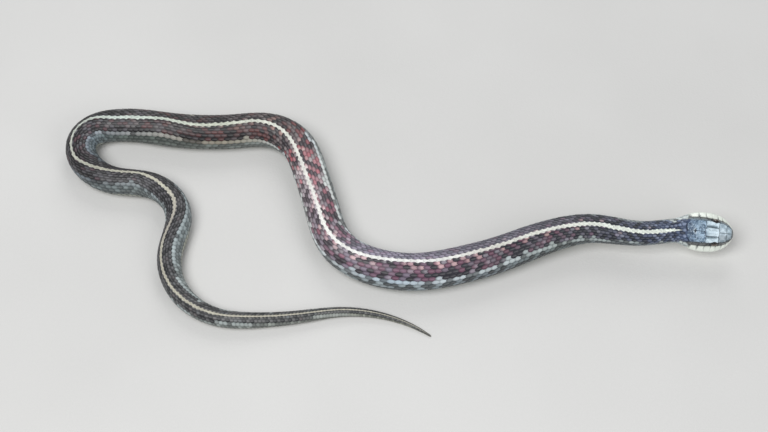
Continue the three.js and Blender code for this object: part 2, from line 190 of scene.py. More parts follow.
def halfWidth(s):
    # Half the body's width, read from the fine marks.
    return np.interp(s, fineMarks, fineWidths)


def axisHeight(s):
    # The belly's lift and the share of the half height that lies above it.
    return np.interp(s, fineMarks, fineLifts) + bodyForm["belly"] * bodyForm["height"] * halfWidth(s)


def axesAt(s):
    # The body's middle, and its right side and back after the roll: the way to the tail crossed with level.
    heading = np.interp(s, fineMarks, fineHeadings)
    middle = np.stack([np.interp(s, wholeMarks, spineX), np.interp(s, wholeMarks, spineY), axisHeight(s)], axis=1)
    climb = axisHeight(s + 0.5) - axisHeight(s - 0.5)
    back = unit(np.stack([np.cos(heading), np.sin(heading), climb], axis=1))
    level = np.stack([-np.sin(heading), np.cos(heading), 0 * heading], axis=1)
    upright = np.cross(back, level)
    roll = np.interp(s, fineMarks, fineRolls)[:, None]
    return middle, level * np.cos(roll) - upright * np.sin(roll), upright * np.cos(roll) + level * np.sin(roll)


def roundSection(s, q):
    # An ellipse, cut level under the belly.
    angle = q * math.pi / 2
    half = halfWidth(s)
    high = half * bodyForm["height"]
    return half * np.sin(angle), np.maximum(high * np.cos(angle), -bodyForm["belly"] * high)


def headSection(t, q):
    # Corners mixed from the head's half widths and heights, each closed in front by a quarter of an
    # ellipse, with a smooth curve through them above the mouth line and another below it.
    lip, brow, crown, mouth, chin = (
        along(headForm[name], t) * np.sqrt(1 - (1 - np.clip(t / reach, 0, 1)) ** 2)
        for name, reach in headForm["reach"].items()
    )
    side, zero = np.abs(q), np.zeros_like(t)
    across = ([brow, lip, zero, zero], [lip, zero, zero])
    upright = ([zero, zero, crown, mouth], [zero, mouth, -chin])
    u, v = (
        np.where(side <= 1, throughCorners(np.array(headForm["crownToLip"]) @ np.stack(upper), side),
                 throughCorners(np.array(headForm["lipToChin"]) @ np.stack(lower), side - 1))
        for upper, lower in (across, upright)
    )
    return np.sign(q) * u, v


def bodyPoint(s, q):
    # A point of the body's outer surface: the round section, or the head's one in front of it.
    q = wrapped(q)
    u, v = roundSection(s, q)
    isHead = s < headForm["blend"][1]
    if isHead.any():
        t, place = s[isHead], q[isHead]
        share = smoothstep(*headForm["blend"], t)
        headU, headV = headSection(t, place)
        u[isHead] = headU + (u[isHead] - headU) * share
        v[isHead] = headV + (v[isHead] - headV) * share
    middle, right, up = axesAt(s)
    return middle + right * u[:, None] + up * v[:, None]


def outward(s, q):
    # The surface's normal: its slope along the body crossed with its slope round it. Near the mouth line
    # the slope is taken on its own side.
    step = 0.03
    place = wrapped(q)
    side = np.abs(place)
    ownSide = np.where(side <= 1, np.minimum(side, 1 - step), np.maximum(side, 1 + step))
    place = np.where(s < headForm["jawEnd"] + 1, np.where(place < 0, -ownSide, ownSide), place)
    lengthwise = bodyPoint(s + step, place) - bodyPoint(np.maximum(s - step, step / 3), place)
    return unit(np.cross(lengthwise, bodyPoint(s, place + step / 2) - bodyPoint(s, place - step / 2)))


def surface(s, q, offset):
    # The outer surface, moved outwards by the offset. Any shapes that broadcast together will do.
    s, q, offset = np.broadcast_arrays(*(np.asarray(value, float) for value in (s, q, offset)))
    flatS, flatQ = s.ravel(), q.ravel()
    points = bodyPoint(flatS, flatQ) + outward(flatS, flatQ) * offset.ravel()[:, None]
    return points.reshape(s.shape + (3,))


def paint(colours):
    # Colours of 0 to 255 as they look, in linear light.
    shown = np.array(colours) / 255
    return np.where(shown <= 0.04045, shown / 12.92, ((shown + 0.055) / 1.055) ** 2.4)


def mixed(low, high, share):
    # The one colour turned into the other by the share.
    return low + (high - low) * np.asarray(share)[..., None]


# The markings, shared by the skin and every scale on it. Rows hold a place and a value or a colour.
markings = {
    # How far the back's pattern lies round the body from its top, where the animal leans over.
    "lean": [
        (0, 0), (100, 0), (130, 0), (147, -0.06), (170, 0.08), (185, 0.17), (200, 0.2), (216, 0.26), (232, 0.3),
        (240, 0.27), (250, 0.16), (262, 0.05), (275, 0.1), (286, 0.13), (295, 0.06), (303, -0.02), (318, 0.08),
        (328, 0.06), (337, -0.18), (346, -0.32), (355, -0.37), (362, -0.18), (370, 0.05), (380, 0.2), (385, 0.22),
        (392, 0.08), (400, -0.03), (410, -0.05), (420, -0.27), (428, -0.4), (440, -0.42), (465, -0.2), (490, 0),
        (570, 0),
    ],
    "stripeHalf": [
        (22.6, 0), (25, 0.36), (28, 0.74), (33, 0.86), (60, 0.9), (100, 0.86), (200, 0.86), (300, 0.82),
        (325, 0.8), (340, 0.78), (352, 0.64), (370, 0.7), (400, 0.78), (434, 0.7), (500, 0.46), (560, 0.2),
        (570, 0.1),
    ],
    "stripeSwell": 0.3,  # share by which the stripe widens between two of its scales
    "stripe": [
        (20, 240, 248, 238), (112, 222, 220, 212), (135, 242, 243, 240), (215, 244, 242, 236),
        (280, 206, 211, 194), (325, 208, 219, 212), (356, 202, 203, 190), (366, 184, 183, 168),
        (400, 208, 205, 188), (420, 182, 176, 166), (434, 196, 192, 176), (570, 176, 172, 156),
    ],
    "ground": [
        (20, 71, 86, 114), (60, 83, 83, 96), (110, 111, 98, 111), (150, 117, 105, 123), (215, 115, 107, 110),
        (250, 88, 76, 77), (330, 78, 76, 82), (570, 94, 95, 93),
    ],
    "spot": [
        (20, 35, 46, 67), (45, 32, 36, 45), (110, 38, 38, 49), (200, 61, 54, 59), (260, 35, 31, 34),
        (570, 47, 50, 52),
    ],
    "fleck": [
        (20, 124, 128, 136), (80, 197, 162, 159), (130, 224, 184, 186), (215, 164, 150, 151),
        (250, 156, 123, 115), (330, 98, 92, 94), (570, 97, 98, 97),
    ],
    "blush": [
        (20, 75, 86, 108), (80, 111, 70, 87), (150, 117, 72, 95), (212, 121, 75, 82), (232, 129, 49, 59),
        (246, 107, 54, 52), (300, 89, 50, 49), (360, 82, 58, 67), (410, 82, 75, 78), (570, 89, 82, 81),
    ],
    "sideStripe": [
        (20, 222, 232, 230), (36, 150, 160, 162), (80, 166, 176, 174), (132, 200, 210, 216), (150, 172, 188, 200),
        (195, 214, 218, 216), (220, 220, 226, 224), (235, 204, 212, 216), (263, 164, 162, 150),
        (277, 158, 150, 134), (345, 144, 154, 163), (356, 108, 119, 129), (372, 104, 110, 113),
        (417, 166, 178, 181), (570, 150, 152, 142),
    ],
    "flank": [
        (20, 206, 216, 214), (26, 190, 200, 200), (34, 96, 104, 110), (80, 80, 88, 88), (115, 76, 83, 88),
        (132, 100, 109, 114), (235, 124, 131, 129), (292, 88, 95, 90), (322, 84, 93, 89), (345, 108, 120, 126),
        (360, 88, 97, 100), (385, 96, 104, 104), (417, 122, 132, 134), (570, 118, 118, 106),
    ],
    "belly": [(20, 222, 226, 216), (150, 176, 186, 178), (570, 166, 164, 148)],
    # Chances, the right side first. A fleck lights an upper scale, a blush reddens one.
    "fleckChance": (
        [(20, 0), (60, 0.1), (95, 0.5), (132, 0.6), (150, 0.45), (285, 0.35), (330, 0.2), (434, 0.12)],
        [(20, 0), (90, 0.12), (170, 0.15), (190, 0.3), (225, 0.35), (240, 0.2), (285, 0.12), (434, 0.06)],
    ),
    "blushChance": (
        [(20, 0), (60, 0.2), (95, 0.7), (160, 0.7), (190, 0.4), (225, 0.25), (245, 0.5), (285, 0.6), (360, 0.3),
         (400, 0.05)],
        [(20, 0), (100, 0.2), (160, 0.25), (190, 0.75), (236, 0.85), (256, 0.4), (400, 0.05)],
    ),
    "speckChance": [(20, 0.45), (32, 0.3), (60, 0.12), (200, 0.2), (300, 0.16), (345, 0.06), (570, 0.04)],
    "speck": [
        (20, 145, 160, 190), (60, 148, 147, 157), (135, 189, 179, 191), (230, 132, 123, 122), (570, 92, 106, 111),
    ],
    # How much the plain colours are lightened or darkened, the right side first: painted light and shade along
    # each side of the body.
    "tone": (
        [(20, 1.09), (110, 0.71), (132, 1.0), (150, 0.86), (190, 1.49), (218, 2.74), (250, 0.97), (263, 0.72),
         (277, 0.77), (292, 0.47), (307, 0.82), (322, 0.85), (345, 1.15), (355, 0.59), (358, 0.51), (366, 0.4),
         (410, 0.84), (570, 0.76)],
        [(20, 0.97), (110, 0.76), (148, 1.31), (190, 1.34), (221, 2.36), (235, 1.34), (249, 0.65), (263, 0.93),
         (277, 0.54), (292, 0.45), (315, 0.96), (322, 0.97), (335, 0.5), (345, 0.55), (355, 0.79), (360, 0.7),
         (410, 1.0), (570, 0.86)],
    ),
    "farSheen": (136, 134, 152),  # painted sheen: the sky's reflection makes the fore body's left side duller and bluer than its right
    "farSheenShare": 0.45,
    "spotLength": 0.9,  # of each two scales along a row
    "spotShift": 0.8,  # how far luck moves a spot, in scales
    "spotMiss": 0.07,  # chance that a dark scale and a light one change places
    "fade": {"blush": 0.6, "fleck": 0.5},  # how much weaker the least lucky ones are
    "speckShare": [(26, 0.6), (45, 0.5)],
    "gapShade": 0.3,  # of the light row's colour
    "litShade": 0.85,
    "blur": 0.008,  # half the width over which one kind of row turns into the next, in shares of the rows
    "flankTones": {"paleFrom": 0.62, "pale": 0.85, "dark": -0.36},  # for luck above paleFrom and below it
    "scaleTones": (0.84, 0.32),  # the darkest scale, and the range up to the lightest
    # Shares of the rows, from the middle of the back to the belly's scutes.
    "spotPart": 0.263,  # the upper spots end and the lower ones begin
    # The light row along the side begins here, the right side first.
    "sideFrom": (
        [(0, 0.68), (26, 0.66), (42, 0.579), (570, 0.579)],
        [(0, 0.52), (24, 0.53), (30, 0.62), (42, 0.579), (570, 0.579)],
    ),
    "sideTo": 0.684,
    # The chance of a dark scale in the light row, and of a light scale in the row above it.
    "sideGaps": [
        (0, 0.05), (100, 0.24), (135, 0.22), (150, 0.45), (190, 0.18), (235, 0.25), (250, 0.15), (265, 0.42),
        (285, 0.36), (300, 0.2), (320, 0.1), (335, 0.22), (366, 0.3), (418, 0.15), (570, 0.1),
    ],
    "sideFlecks": [
        (0, 0.1), (100, 0.1), (132, 0.14), (160, 0.3), (225, 0.25), (240, 0.12), (300, 0.05), (370, 0.06),
        (400, 0.2), (434, 0.1), (570, 0.1),
    ],
    # How far the flank's scales differ.
    "flankSpread": [
        (20, 0.5), (100, 1.35), (155, 1.35), (255, 0.5), (570, 0.6),
    ],
    "bellyFrom": 0.97,
}


def paintAlong(name, s):
    # A colour of the markings, each channel straight from mark to mark.
    table = np.array(markings[name], float)
    return np.stack([np.interp(s, table[:, 0], channel) for channel in paint(table[:, 1:]).T], axis=-1)


def valueAlong(name, s, row=None):
    # A value of the markings, straight from mark to mark. Those with a row have a table for each side.
    tables = [markings[name]] if row is None else markings[name]
    values = [np.interp(s, *np.array(table).T) for table in tables]
    return values[0] if row is None else np.where(row > 0, *values)


def lean(s):
    # How far the pattern has turned round the body.
    return along(markings["lean"], s)


# The lie of the scales: how far apart they are along the body, and how many rows there are across it.
scaleLie = {
    "spacing": [(20, 1.75), (60, 2.2), (120, 2.8), (300, 2.75), (400, 2.25), (434, 2), (490, 1.65), (530, 1.35),
                (570, 0.95)],
    "rows": [(0, 17), (45, 17), (70, 19), (385, 19), (410, 17), (440, 15), (455, 13), (470, 11), (490, 9),
             (515, 7), (545, 5), (570, 5)],
    "edge": 1.333,  # place round the body where the belly's scutes begin
    "sideShare": 0.625,  # the share of the rows that lies at the side place
    "sidePlace": [(0, 0.74), (100, 0.7), (120, 0.78), (140, 0.8), (170, 0.75), (205, 0.7), (225, 0.76),
                  (242, 0.82), (258, 0.8), (285, 0.69), (300, 0.65), (328, 0.66), (342, 0.75), (358, 0.67),
                  (380, 0.68), (410, 0.71), (434, 0.66), (570, 0.72)],
    "depth": 0.3,  # of the coat at its thickest
    "thinBelow": 3.4,  # half width of the body under which the coat grows thinner
}
lieStep = 0.5
lieMarks = np.arange(15, 572, lieStep)
lieSteps = lieStep / along(scaleLie["spacing"], lieMarks[:-1] + lieStep / 2)
lieCounts = np.concatenate([[0], np.cumsum(lieSteps)])


def countAt(s):
    # How many scales lie between the nape and s.
    return np.interp(s, lieMarks, lieCounts)


def placeOfCount(count):
    # The place along the body of the scale with that count.
    return np.interp(count, lieCounts, lieMarks)


def halfRows(s):
    # Half the number of rows across the back and sides.
    return np.interp(s, *np.array(scaleLie["rows"]).T) / 2


def rowBend(s):
    # How far the rows' places leave a straight line, to pass through the side place at its share.
    share = scaleLie["sideShare"]
    return (along(scaleLie["sidePlace"], s) / share - scaleLie["edge"]) / (share - 1)


def rowPlace(row, s):
    # The place of a row round the body before the lean: a parabola over its share of the rows.
    share, bend = np.abs(row) / halfRows(s), rowBend(s)
    return np.sign(row) * share * (scaleLie["edge"] - bend + bend * share)


def rowAt(place, s):
    # The row at a place round the body, between whole rows too: the parabola solved for its share.
    bend = rowBend(s)
    straight = scaleLie["edge"] - bend
    side = np.minimum(np.abs(place), scaleLie["edge"])
    share = 2 * side / (straight + np.sqrt(np.maximum(straight ** 2 + 4 * bend * side, 0)))
    return np.sign(place) * share * halfRows(s)


def rowWidth(row, s):
    # The width of a row in places round the body: the slope of its place.
    share, bend = np.abs(row) / halfRows(s), rowBend(s)
    return (scaleLie["edge"] - bend + 2 * bend * share) / halfRows(s)


def coatDepth(s):
    # How deep the skin lies under the scales: in full on the thick of the body, less on the tail.
    return scaleLie["depth"] * np.minimum(1, halfWidth(s) / scaleLie["thinBelow"])


def stripeValues(s, place, share, uneven=1):
    # What the shader needs for the back stripe: a value that passes 1 at its edge, from the distance to
    # its middle over its half width, which swells between two of its scales; and its colour.
    across = np.abs(place) * (math.pi / 2) * halfWidth(s) + 0.04
    swell = 1 + markings["stripeSwell"] * (1 - 4 * np.abs(countAt(s) % 1 - 0.5))
    ratio = across / np.maximum(along(markings["stripeHalf"], s) * swell, 0.02)
    return {"stripe": np.clip(2 - uneven * ratio, 0, 2), "stripeTint": paintAlong("stripe", s) * share}


def bodyColour(s, row, count, luck, flecks=1):
    # The colour of the body beside the back stripe. Scales are counted two by two: a dark spot takes
    # turns with a fleck above and with a blush below, the upper rows and the lower ones out of step.
    # Luck holds even draws from 0 to 1, and flecks is the share of the light flecks that is painted.
    share = np.abs(row) / halfRows(s)
    upper = share < markings["spotPart"]
    turn = np.where(row > 0, 0.25, 1.25) + ~upper
    moved = count + turn + markings["spotShift"] * (luck[0] - 0.5)
    inSpot = (moved % 2 < markings["spotLength"]) ^ (luck[1] < markings["spotMiss"])
    colour = paintAlong("ground", s)
    shown = {}
    for key, draw, mayShow, strength in (("blush", luck[2], True, 1), ("fleck", luck[3], upper, flecks)):
        draw = draw / np.maximum(valueAlong(key + "Chance", s, row), 0.001)
        shown[key] = ~inSpot & mayShow & (draw < 1)
        faded = shown[key] * (1 - markings["fade"][key] * np.clip(draw, 0, 1))
        colour = mixed(colour, paintAlong(key, s), strength * faded)
    colour = np.where(inSpot[..., None], paintAlong("spot", s), colour)
    specked = ~shown["fleck"] & (luck[5] < valueAlong("speckChance", s))
    colour = mixed(colour, paintAlong("speck", s), flecks * specked * valueAlong("speckShare", s))
    # Painted sheen: the fore body's left side is mixed towards the sky's bluish reflection.
    farSheenMask = (row < 0) * smoothstep(60, 100, s) * (1 - smoothstep(160, 185, s))
    colour = mixed(colour, paint(markings["farSheen"]), markings["farSheenShare"] * farSheenMask)
    # Painted light and shade along each side of the body.
    colour = colour * valueAlong("tone", s, row)[..., None]
    sideColour = paintAlong("sideStripe", s)
    sideFrom = valueAlong("sideFrom", s, row)
    lit = (luck[3] > 1 - valueAlong("sideFlecks", s)) & (share > sideFrom - 0.1)
    colour = np.where(lit[..., None], sideColour * markings["litShade"], colour)
    gap = luck[1] > 1 - valueAlong("sideGaps", s)
    sideRow = np.where(gap[..., None], sideColour * markings["gapShade"], sideColour)
    blur, tones = markings["blur"], markings["flankTones"]
    colour = mixed(colour, sideRow, smoothstep(-blur, blur, share - sideFrom))
    spread = valueAlong("flankSpread", s) * np.where(luck[2] > tones["paleFrom"], tones["pale"], tones["dark"])
    flank = paintAlong("flank", s) * (1 + spread)[..., None]
    colour = mixed(colour, flank, smoothstep(-blur, blur, share - markings["sideTo"]))
    darkest, lighter = markings["scaleTones"]
    colour = colour * (darkest + lighter * luck[4])[..., None]
    return mixed(colour, paintAlong("belly", s), smoothstep(markings["bellyFrom"], 1, share))


def addMesh(name, points, faceLists, values, bake=None, sharp=None):
    # A mesh object at the origin, in metres. Each face list is an array with one face in a row; values
    # are kept for each point, and bake places for each point or for each corner of the faces in order.
    mesh = bpy.data.meshes.new(name)
    points = points.reshape(-1, 3)
    corners = np.concatenate([faces.ravel() for faces in faceLists]).astype(np.int32)
    sizes = np.concatenate([np.full(len(faces), faces.shape[1]) for faces in faceLists])
    mesh.vertices.add(len(points))
    mesh.vertices.foreach_set("co", (points * millimetre).astype(np.float32).ravel())
    mesh.loops.add(len(corners))
    mesh.loops.foreach_set("vertex_index", corners)
    mesh.polygons.add(len(sizes))
    mesh.polygons.foreach_set("loop_start", np.concatenate([[0], np.cumsum(sizes)[:-1]]).astype(np.int32))
    mesh.polygons.foreach_set("use_smooth", np.ones(len(sizes), bool))
    if bake is not None:
        bake = bake.reshape(-1, 2).astype(np.float32)
        bake = bake[corners] if len(bake) == len(points) else bake
        mesh.uv_layers.new(name="OFBake").data.foreach_set("uv", bake.ravel())
    mesh.update(calc_edges=True)
    mesh.validate()
    for valueName, value in values.items():
        value = np.asarray(value, np.float32).reshape(len(points), -1)
        if value.shape[1] == 3:
            layer = mesh.color_attributes.new(name=valueName, type="FLOAT_COLOR", domain="POINT")
            layer.data.foreach_set("color", np.pad(value, ((0, 0), (0, 1)), constant_values=1).ravel())
        else:
            layer = mesh.attributes.new(name=valueName, type="FLOAT", domain="POINT")
            layer.data.foreach_set("value", value.ravel())
    if sharp is not None:
        ends = np.empty(len(mesh.edges) * 2, np.int32)
        mesh.edges.foreach_get("vertices", ends)
        kind = sharp[ends.reshape(-1, 2)]
        isSharp = (kind[:, 0] == kind[:, 1]) & (kind[:, 0] > 0)
        layer = mesh.attributes.new(name="sharp_edge", type="BOOLEAN", domain="EDGE")
        layer.data.foreach_set("value", isSharp)
    piece = addObject(name, mesh)
    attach(piece, "root")
    print(name, "made:", int((sizes - 2).sum()), "triangles")
    return piece


def gridFaces(rows, columns, closed=False):
    # The four-cornered faces of a grid of points, counted row by row. Seen from the side they face, with
    # the first row lowest, the columns count from right to left. A closed grid joins its last to its first.
    i, j = np.meshgrid(np.arange(rows - 1), np.arange(columns if closed else columns - 1), indexing="ij")
    a = i * columns + j
    b = i * columns + (j + 1) % columns
    return np.stack([a + columns, b + columns, b, a], axis=-1).reshape(-1, 4)


def closedFaces(rows, columns):
    # A closed grid with a fan at each end, to a point for the first row and one for the last, which
    # follow the grid's own points.
    k = np.arange(columns)
    after = (k + 1) % columns
    end, last = rows * columns, (rows - 1) * columns
    front = np.stack([np.full(columns, end), k, after], axis=1)
    rear = np.stack([np.full(columns, end + 1), last + after, last + k], axis=1)
    return [gridFaces(rows, columns, closed=True), np.concatenate([front, rear])]


def repeated(faceLists, count, points):
    # The same faces for each of a count of shapes, whose points follow one another.
    start = np.arange(count)[:, None, None] * points
    return [(faces + start).reshape(-1, faces.shape[1]) for faces in faceLists]


# The skin laid out flat for baking: four strips of the body, one over another.
bakeStrips = {"count": 4, "margin": 0.02, "patch": 0.003}


def stripPlace(s, q, stripOf):
    # Along the strip by the distance from its start, and up by the strip's number and the place round.
    count, margin = bakeStrips["count"], bakeStrips["margin"]
    length = bodyForm["length"] / count
    strip = np.clip(np.floor(stripOf / length), 0, count - 1)
    onward, around = (margin + (1 - 2 * margin) * share for share in (s / length - strip, (q + 2) / 4))
    return np.stack(np.broadcast_arrays(onward, (strip + around) / count), axis=-1)


# The skin: one closed surface from snout to tail tip under all the scales and shields.
skinForm = {
    "sides": 104,
    "tip": (0.003, 0.02, 0.05, 0.1, 0.17, 0.26, 0.38, 0.52, 0.68, 0.86, 1.08),  # rings close together
    "headFrom": 1.35,
    "headStep": 0.3,
    "headEnd": 30,
    "bodyStep": 0.85,
    "bodyEnd": 569,
    "tail": (569.3, 569.6, 569.85, 569.97),
    "mouthColumns": (-0.06, -0.04, -0.025, -0.012, 0, 0.012, 0.025, 0.04, 0.06),
    "mouthGap": 0.075,  # even columns nearer to the mouth line than this give way to those
    "headDepth": 0.22,
    "mouthDepth": 0.4,
    "mouthWidth": 0.022,
    "socketReach": 2.15,  # millimetres round the eye where the skin sinks
    "socketDepth": 0.5,
    "coatFrom": (21, 25),  # the head's depth turns into the coat's between these
    "mouthFrom": (0.3, 1),
    "mouthTo": 19,
    "bellyFrom": (1.1, 1.4),
    "neckFrom": (19.5, 22.5),  # the head's colours turn into the body's between these
    "neckBand": (18.6, 19.6, 23, 27),  # where the skin is as light as the scales, as it shows between them
    "darkTip": (0.08, 0.25),
    "colour": (38, 38, 42),
    "mouth": (46, 34, 36),
    "crown": (70, 80, 92),
    "lip": (190, 190, 176),
}


def skinPlaces():
    # Rings close together at the tip of the snout, then at even steps, and columns closer at the mouth.
    end, last = skinForm["headEnd"], skinForm["bodyEnd"]
    head = np.arange(skinForm["headFrom"], end, skinForm["headStep"])
    body = np.linspace(end, last, int((last - end) / skinForm["bodyStep"]))
    even = np.linspace(-2, 2, skinForm["sides"], endpoint=False)
    near = np.array(skinForm["mouthColumns"])
    columns = np.concatenate([even[np.abs(np.abs(even) - 1) > skinForm["mouthGap"]], near + 1, near - 1])
    return np.concatenate([skinForm["tip"], head, body, skinForm["tail"]]), np.sort(columns)


def makeSkin():
    # The outer surface moved in by the coat's depth, with a groove along the mouth line, sockets round
    # the eyes, and a rounded end to the tail.
    s, q = np.meshgrid(*skinPlaces(), indexing="ij")
    depth = skinForm["headDepth"] + (coatDepth(s) - skinForm["headDepth"]) * smoothstep(*skinForm["coatFrom"], s)
    mouth = np.exp(-((np.abs(q) - 1) / skinForm["mouthWidth"]) ** 2) * smoothstep(*skinForm["mouthFrom"], s)
    mouth = mouth * (1 - smoothstep(skinForm["mouthTo"], headForm["jawEnd"], s))
    depth = depth + skinForm["mouthDepth"] * mouth
    tailEnd = np.clip(s - skinForm["bodyEnd"], 0, 1)
    depth = depth + (halfWidth(s) - depth) * (1 - np.sqrt(1 - tailEnd ** 2))
    points = surface(s, q, -depth)
    normal = outward(s.ravel(), q.ravel()).reshape(points.shape)
    for side in (-1, 1):
        away = np.linalg.norm(points - eyeCentre(side), axis=-1)
        points = points - normal * np.clip(skinForm["socketReach"] - away, 0, skinForm["socketDepth"])[..., None]
    front = bodyPoint(np.array([0.001]), np.array([0.0])) - [skinForm["headDepth"], 0, 0]
    rear = axesAt(np.array([569.99]))[0]
    luck = np.full((6,) + s.shape, 0.5)
    luck[2:4] = 1
    seen = bodyColour(s, rowAt(q - lean(s), s), countAt(s), luck)
    isBelly = smoothstep(*skinForm["bellyFrom"], np.abs(q))
    tint = mixed(seen * 0.45 + paint(skinForm["colour"]) * 0.4, seen, isBelly * 0.7)
    isLip = smoothstep(*headMarks["lipTop"], np.abs(q))
    headSkin = mixed(paint(skinForm["crown"]), paint(skinForm["lip"]), isLip)
    tint = mixed(headSkin * 0.5, tint, smoothstep(*skinForm["neckFrom"], s))
    first, full, less, end = skinForm["neckBand"]
    tint = mixed(tint, seen * 0.9, smoothstep(first, full, s) * (1 - smoothstep(less, end, s)))
    # The mouth line's groove takes the mouth's dark colour, which is also painted shade in the crease; the skin
    # at the very tip of the snout is darkened too.
    dark = np.maximum(np.clip(mouth * 1.4, 0, 1), 1 - smoothstep(*skinForm["darkTip"], s))
    tint = mixed(tint, paint(skinForm["mouth"]), dark)
    tint = np.concatenate([tint.reshape(-1, 3), tint[0, :1], tint[-1, :1]])
    flatS = np.append(s, [0, bodyForm["length"]])
    values = {"tint": tint, **stripeValues(flatS, np.append(q - lean(s), [1, 1]), 0.8)}
    # Each face reads its own strip, so that no face spans two of them. An end's point lies in the middle.
    faceLists = closedFaces(*s.shape)
    bakes = []
    for faces in faceLists:
        faceS, faceQ = flatS[faces], np.append(q, [0, 0])[faces]
        wraps = np.ptp(faceQ, axis=1) > 3
        faceQ = np.where(wraps[:, None] & (faceQ < 0), faceQ + 4, faceQ)
        isEnd = faces >= s.size
        faceQ = np.where(isEnd, np.nanmean(np.where(isEnd, np.nan, faceQ), axis=1, keepdims=True), faceQ)
        bakes.append(stripPlace(faceS, faceQ, faceS.mean(axis=1, keepdims=True)).reshape(-1, 2))
    points = np.concatenate([points.reshape(-1, 3), front, rear])
    return addMesh("skin", points, faceLists, values, np.concatenate(bakes))


def eyeCentre(side):
    # The eye's middle, from its place along, across and up from the head's own axis.
    eye = headForm["eye"]
    middle, right, up = axesAt(np.array([eye["along"]]))
    return (middle + right * side * eye["across"] + up * eye["up"])[0]


def perPlate(values):
    # One value for each plate, ready to spread over the rows and columns of its points.
    return values[:, None, None]


def makePlates(names, cuts, s, places, drop, root, local, values):
    # Plates that follow the surface: the points of a top in rows and columns, a rim that goes down from
    # its edge by the drop, and a flat underside. Each value comes with its share at the rim's foot. A
    # piece holds the plates between two cuts, and each plate is a small patch at its root to the baker.
    pointS, pointQ, height = np.broadcast_arrays(*places)
    number, rows, columns = pointS.shape
    total = rows * columns
    index = np.arange(total).reshape(rows, columns)
    rim = np.concatenate([index[0], index[1:, -1], index[-1, -2::-1], index[-2:0:-1, 0]])
    foot = total + np.arange(len(rim))

    def withRim(value, share=1):
        # The value at the top's points and then at the rim's foot.
        more = np.shape(value)[3:]
        flat = np.broadcast_to(value, pointS.shape + more).reshape((number, total) + more)
        return np.concatenate([flat, flat[:, rim] * share], axis=1)

    heights = withRim(height)
    heights[:, foot] -= drop[:, None]
    points = surface(withRim(pointS), withRim(pointQ), heights)
    local = np.stack([np.broadcast_to(part, pointS.shape) for part in local], axis=-1)
    bake = root[:, None] + withRim(local, 1.06) * bakeStrips["patch"]
    values = {key: withRim(*value) for key, value in values.items()}
    skirt = np.stack([rim, np.roll(rim, -1), np.roll(foot, -1), foot], axis=1)
    faceLists = [gridFaces(rows, columns), skirt, foot[None]]
    sharp = np.repeat([0, 2], [total, len(rim)])
    sharp[rim] = 1
    pieces = []
    for name, low, high in zip(names, cuts, cuts[1:]):
        chosen = (s >= low) & (s < high)
        count = int(chosen.sum())
        pieces.append(addMesh(
            name, points[chosen], repeated(faceLists, count, len(sharp)),
            {key: value[chosen] for key, value in values.items()}, bake[chosen], np.tile(sharp, count),
        ))
    return pieces


# The scales of the back and sides: each is a thin keeled blade, rooted under the ones in front.
scaleForm = {
    "reach": 0.76,  # half length over the spacing
    "width": 0.66,  # half width over the row's width
    "columns": (-1, -0.62, -0.2, 0, 0.2, 0.62, 1),
    "stations": (0, 0.24, 0.5, 0.74, 0.91, 1),  # root to tip
    "halfWidths": (0.5, 0.86, 1, 0.86, 0.52, 0.12),  # of the full half width at the stations
    "thickness": 0.11,
    "keel": 0.08,
    "crown": 0.035,
    "sunk": 0.02,  # how much deeper than the skin the root lies
    "tipLift": 0.9,  # share of the coat's depth reached at the tip
    "wobble": 0.06,  # range of luck in a scale's length and width
    "napeGap": 0.15,
    "lastPlace": 566,
    "cuts": (0, 96, 176, 258, 352, 571),
    "tipFlecks": 0.25,  # share of the flecks that is left at the tip
    "fleckEnd": (0.52, 0.3, 0.12),  # where a fleck ends along its scale, the luck in it and how soft it is
    "edgedShare": 0.6,
    "edgedTo": 0.6,
    "rimShares": (0.3, 0.42),  # of the spots' colour at every rim, and more of it above the side row: dark edges and painted shade between the scales
    "stripeTones": (0.84, 0.2),
    "stripeEdge": (0.82, 0.36),  # the least half width of the back stripe at a scale, and the luck in it
    "edgedChance": [(20, 0), (60, 0.08), (110, 0.3), (220, 0.26), (330, 0.1), (434, 0.06), (570, 0.04)],
}


def scalePlaces():
    # Row by row, every second row half a step behind: kept where the row is on the back or the side.
    rows, counts = np.meshgrid(np.arange(-13, 14), np.arange(int(lieCounts[-1])), indexing="ij")
    rows, counts = rows.ravel(), (counts + 0.5 * (rows % 2)).ravel()
    s = placeOfCount(counts)
    q = rowPlace(rows, s) + lean(s)
    keep = (s > napeEdge(q) + scaleForm["napeGap"]) & (s < scaleForm["lastPlace"])
    keep &= np.abs(q) < scaleLie["edge"] - 0.3 * rowWidth(rows, s)
    return rows[keep], counts[keep], s[keep], q[keep]


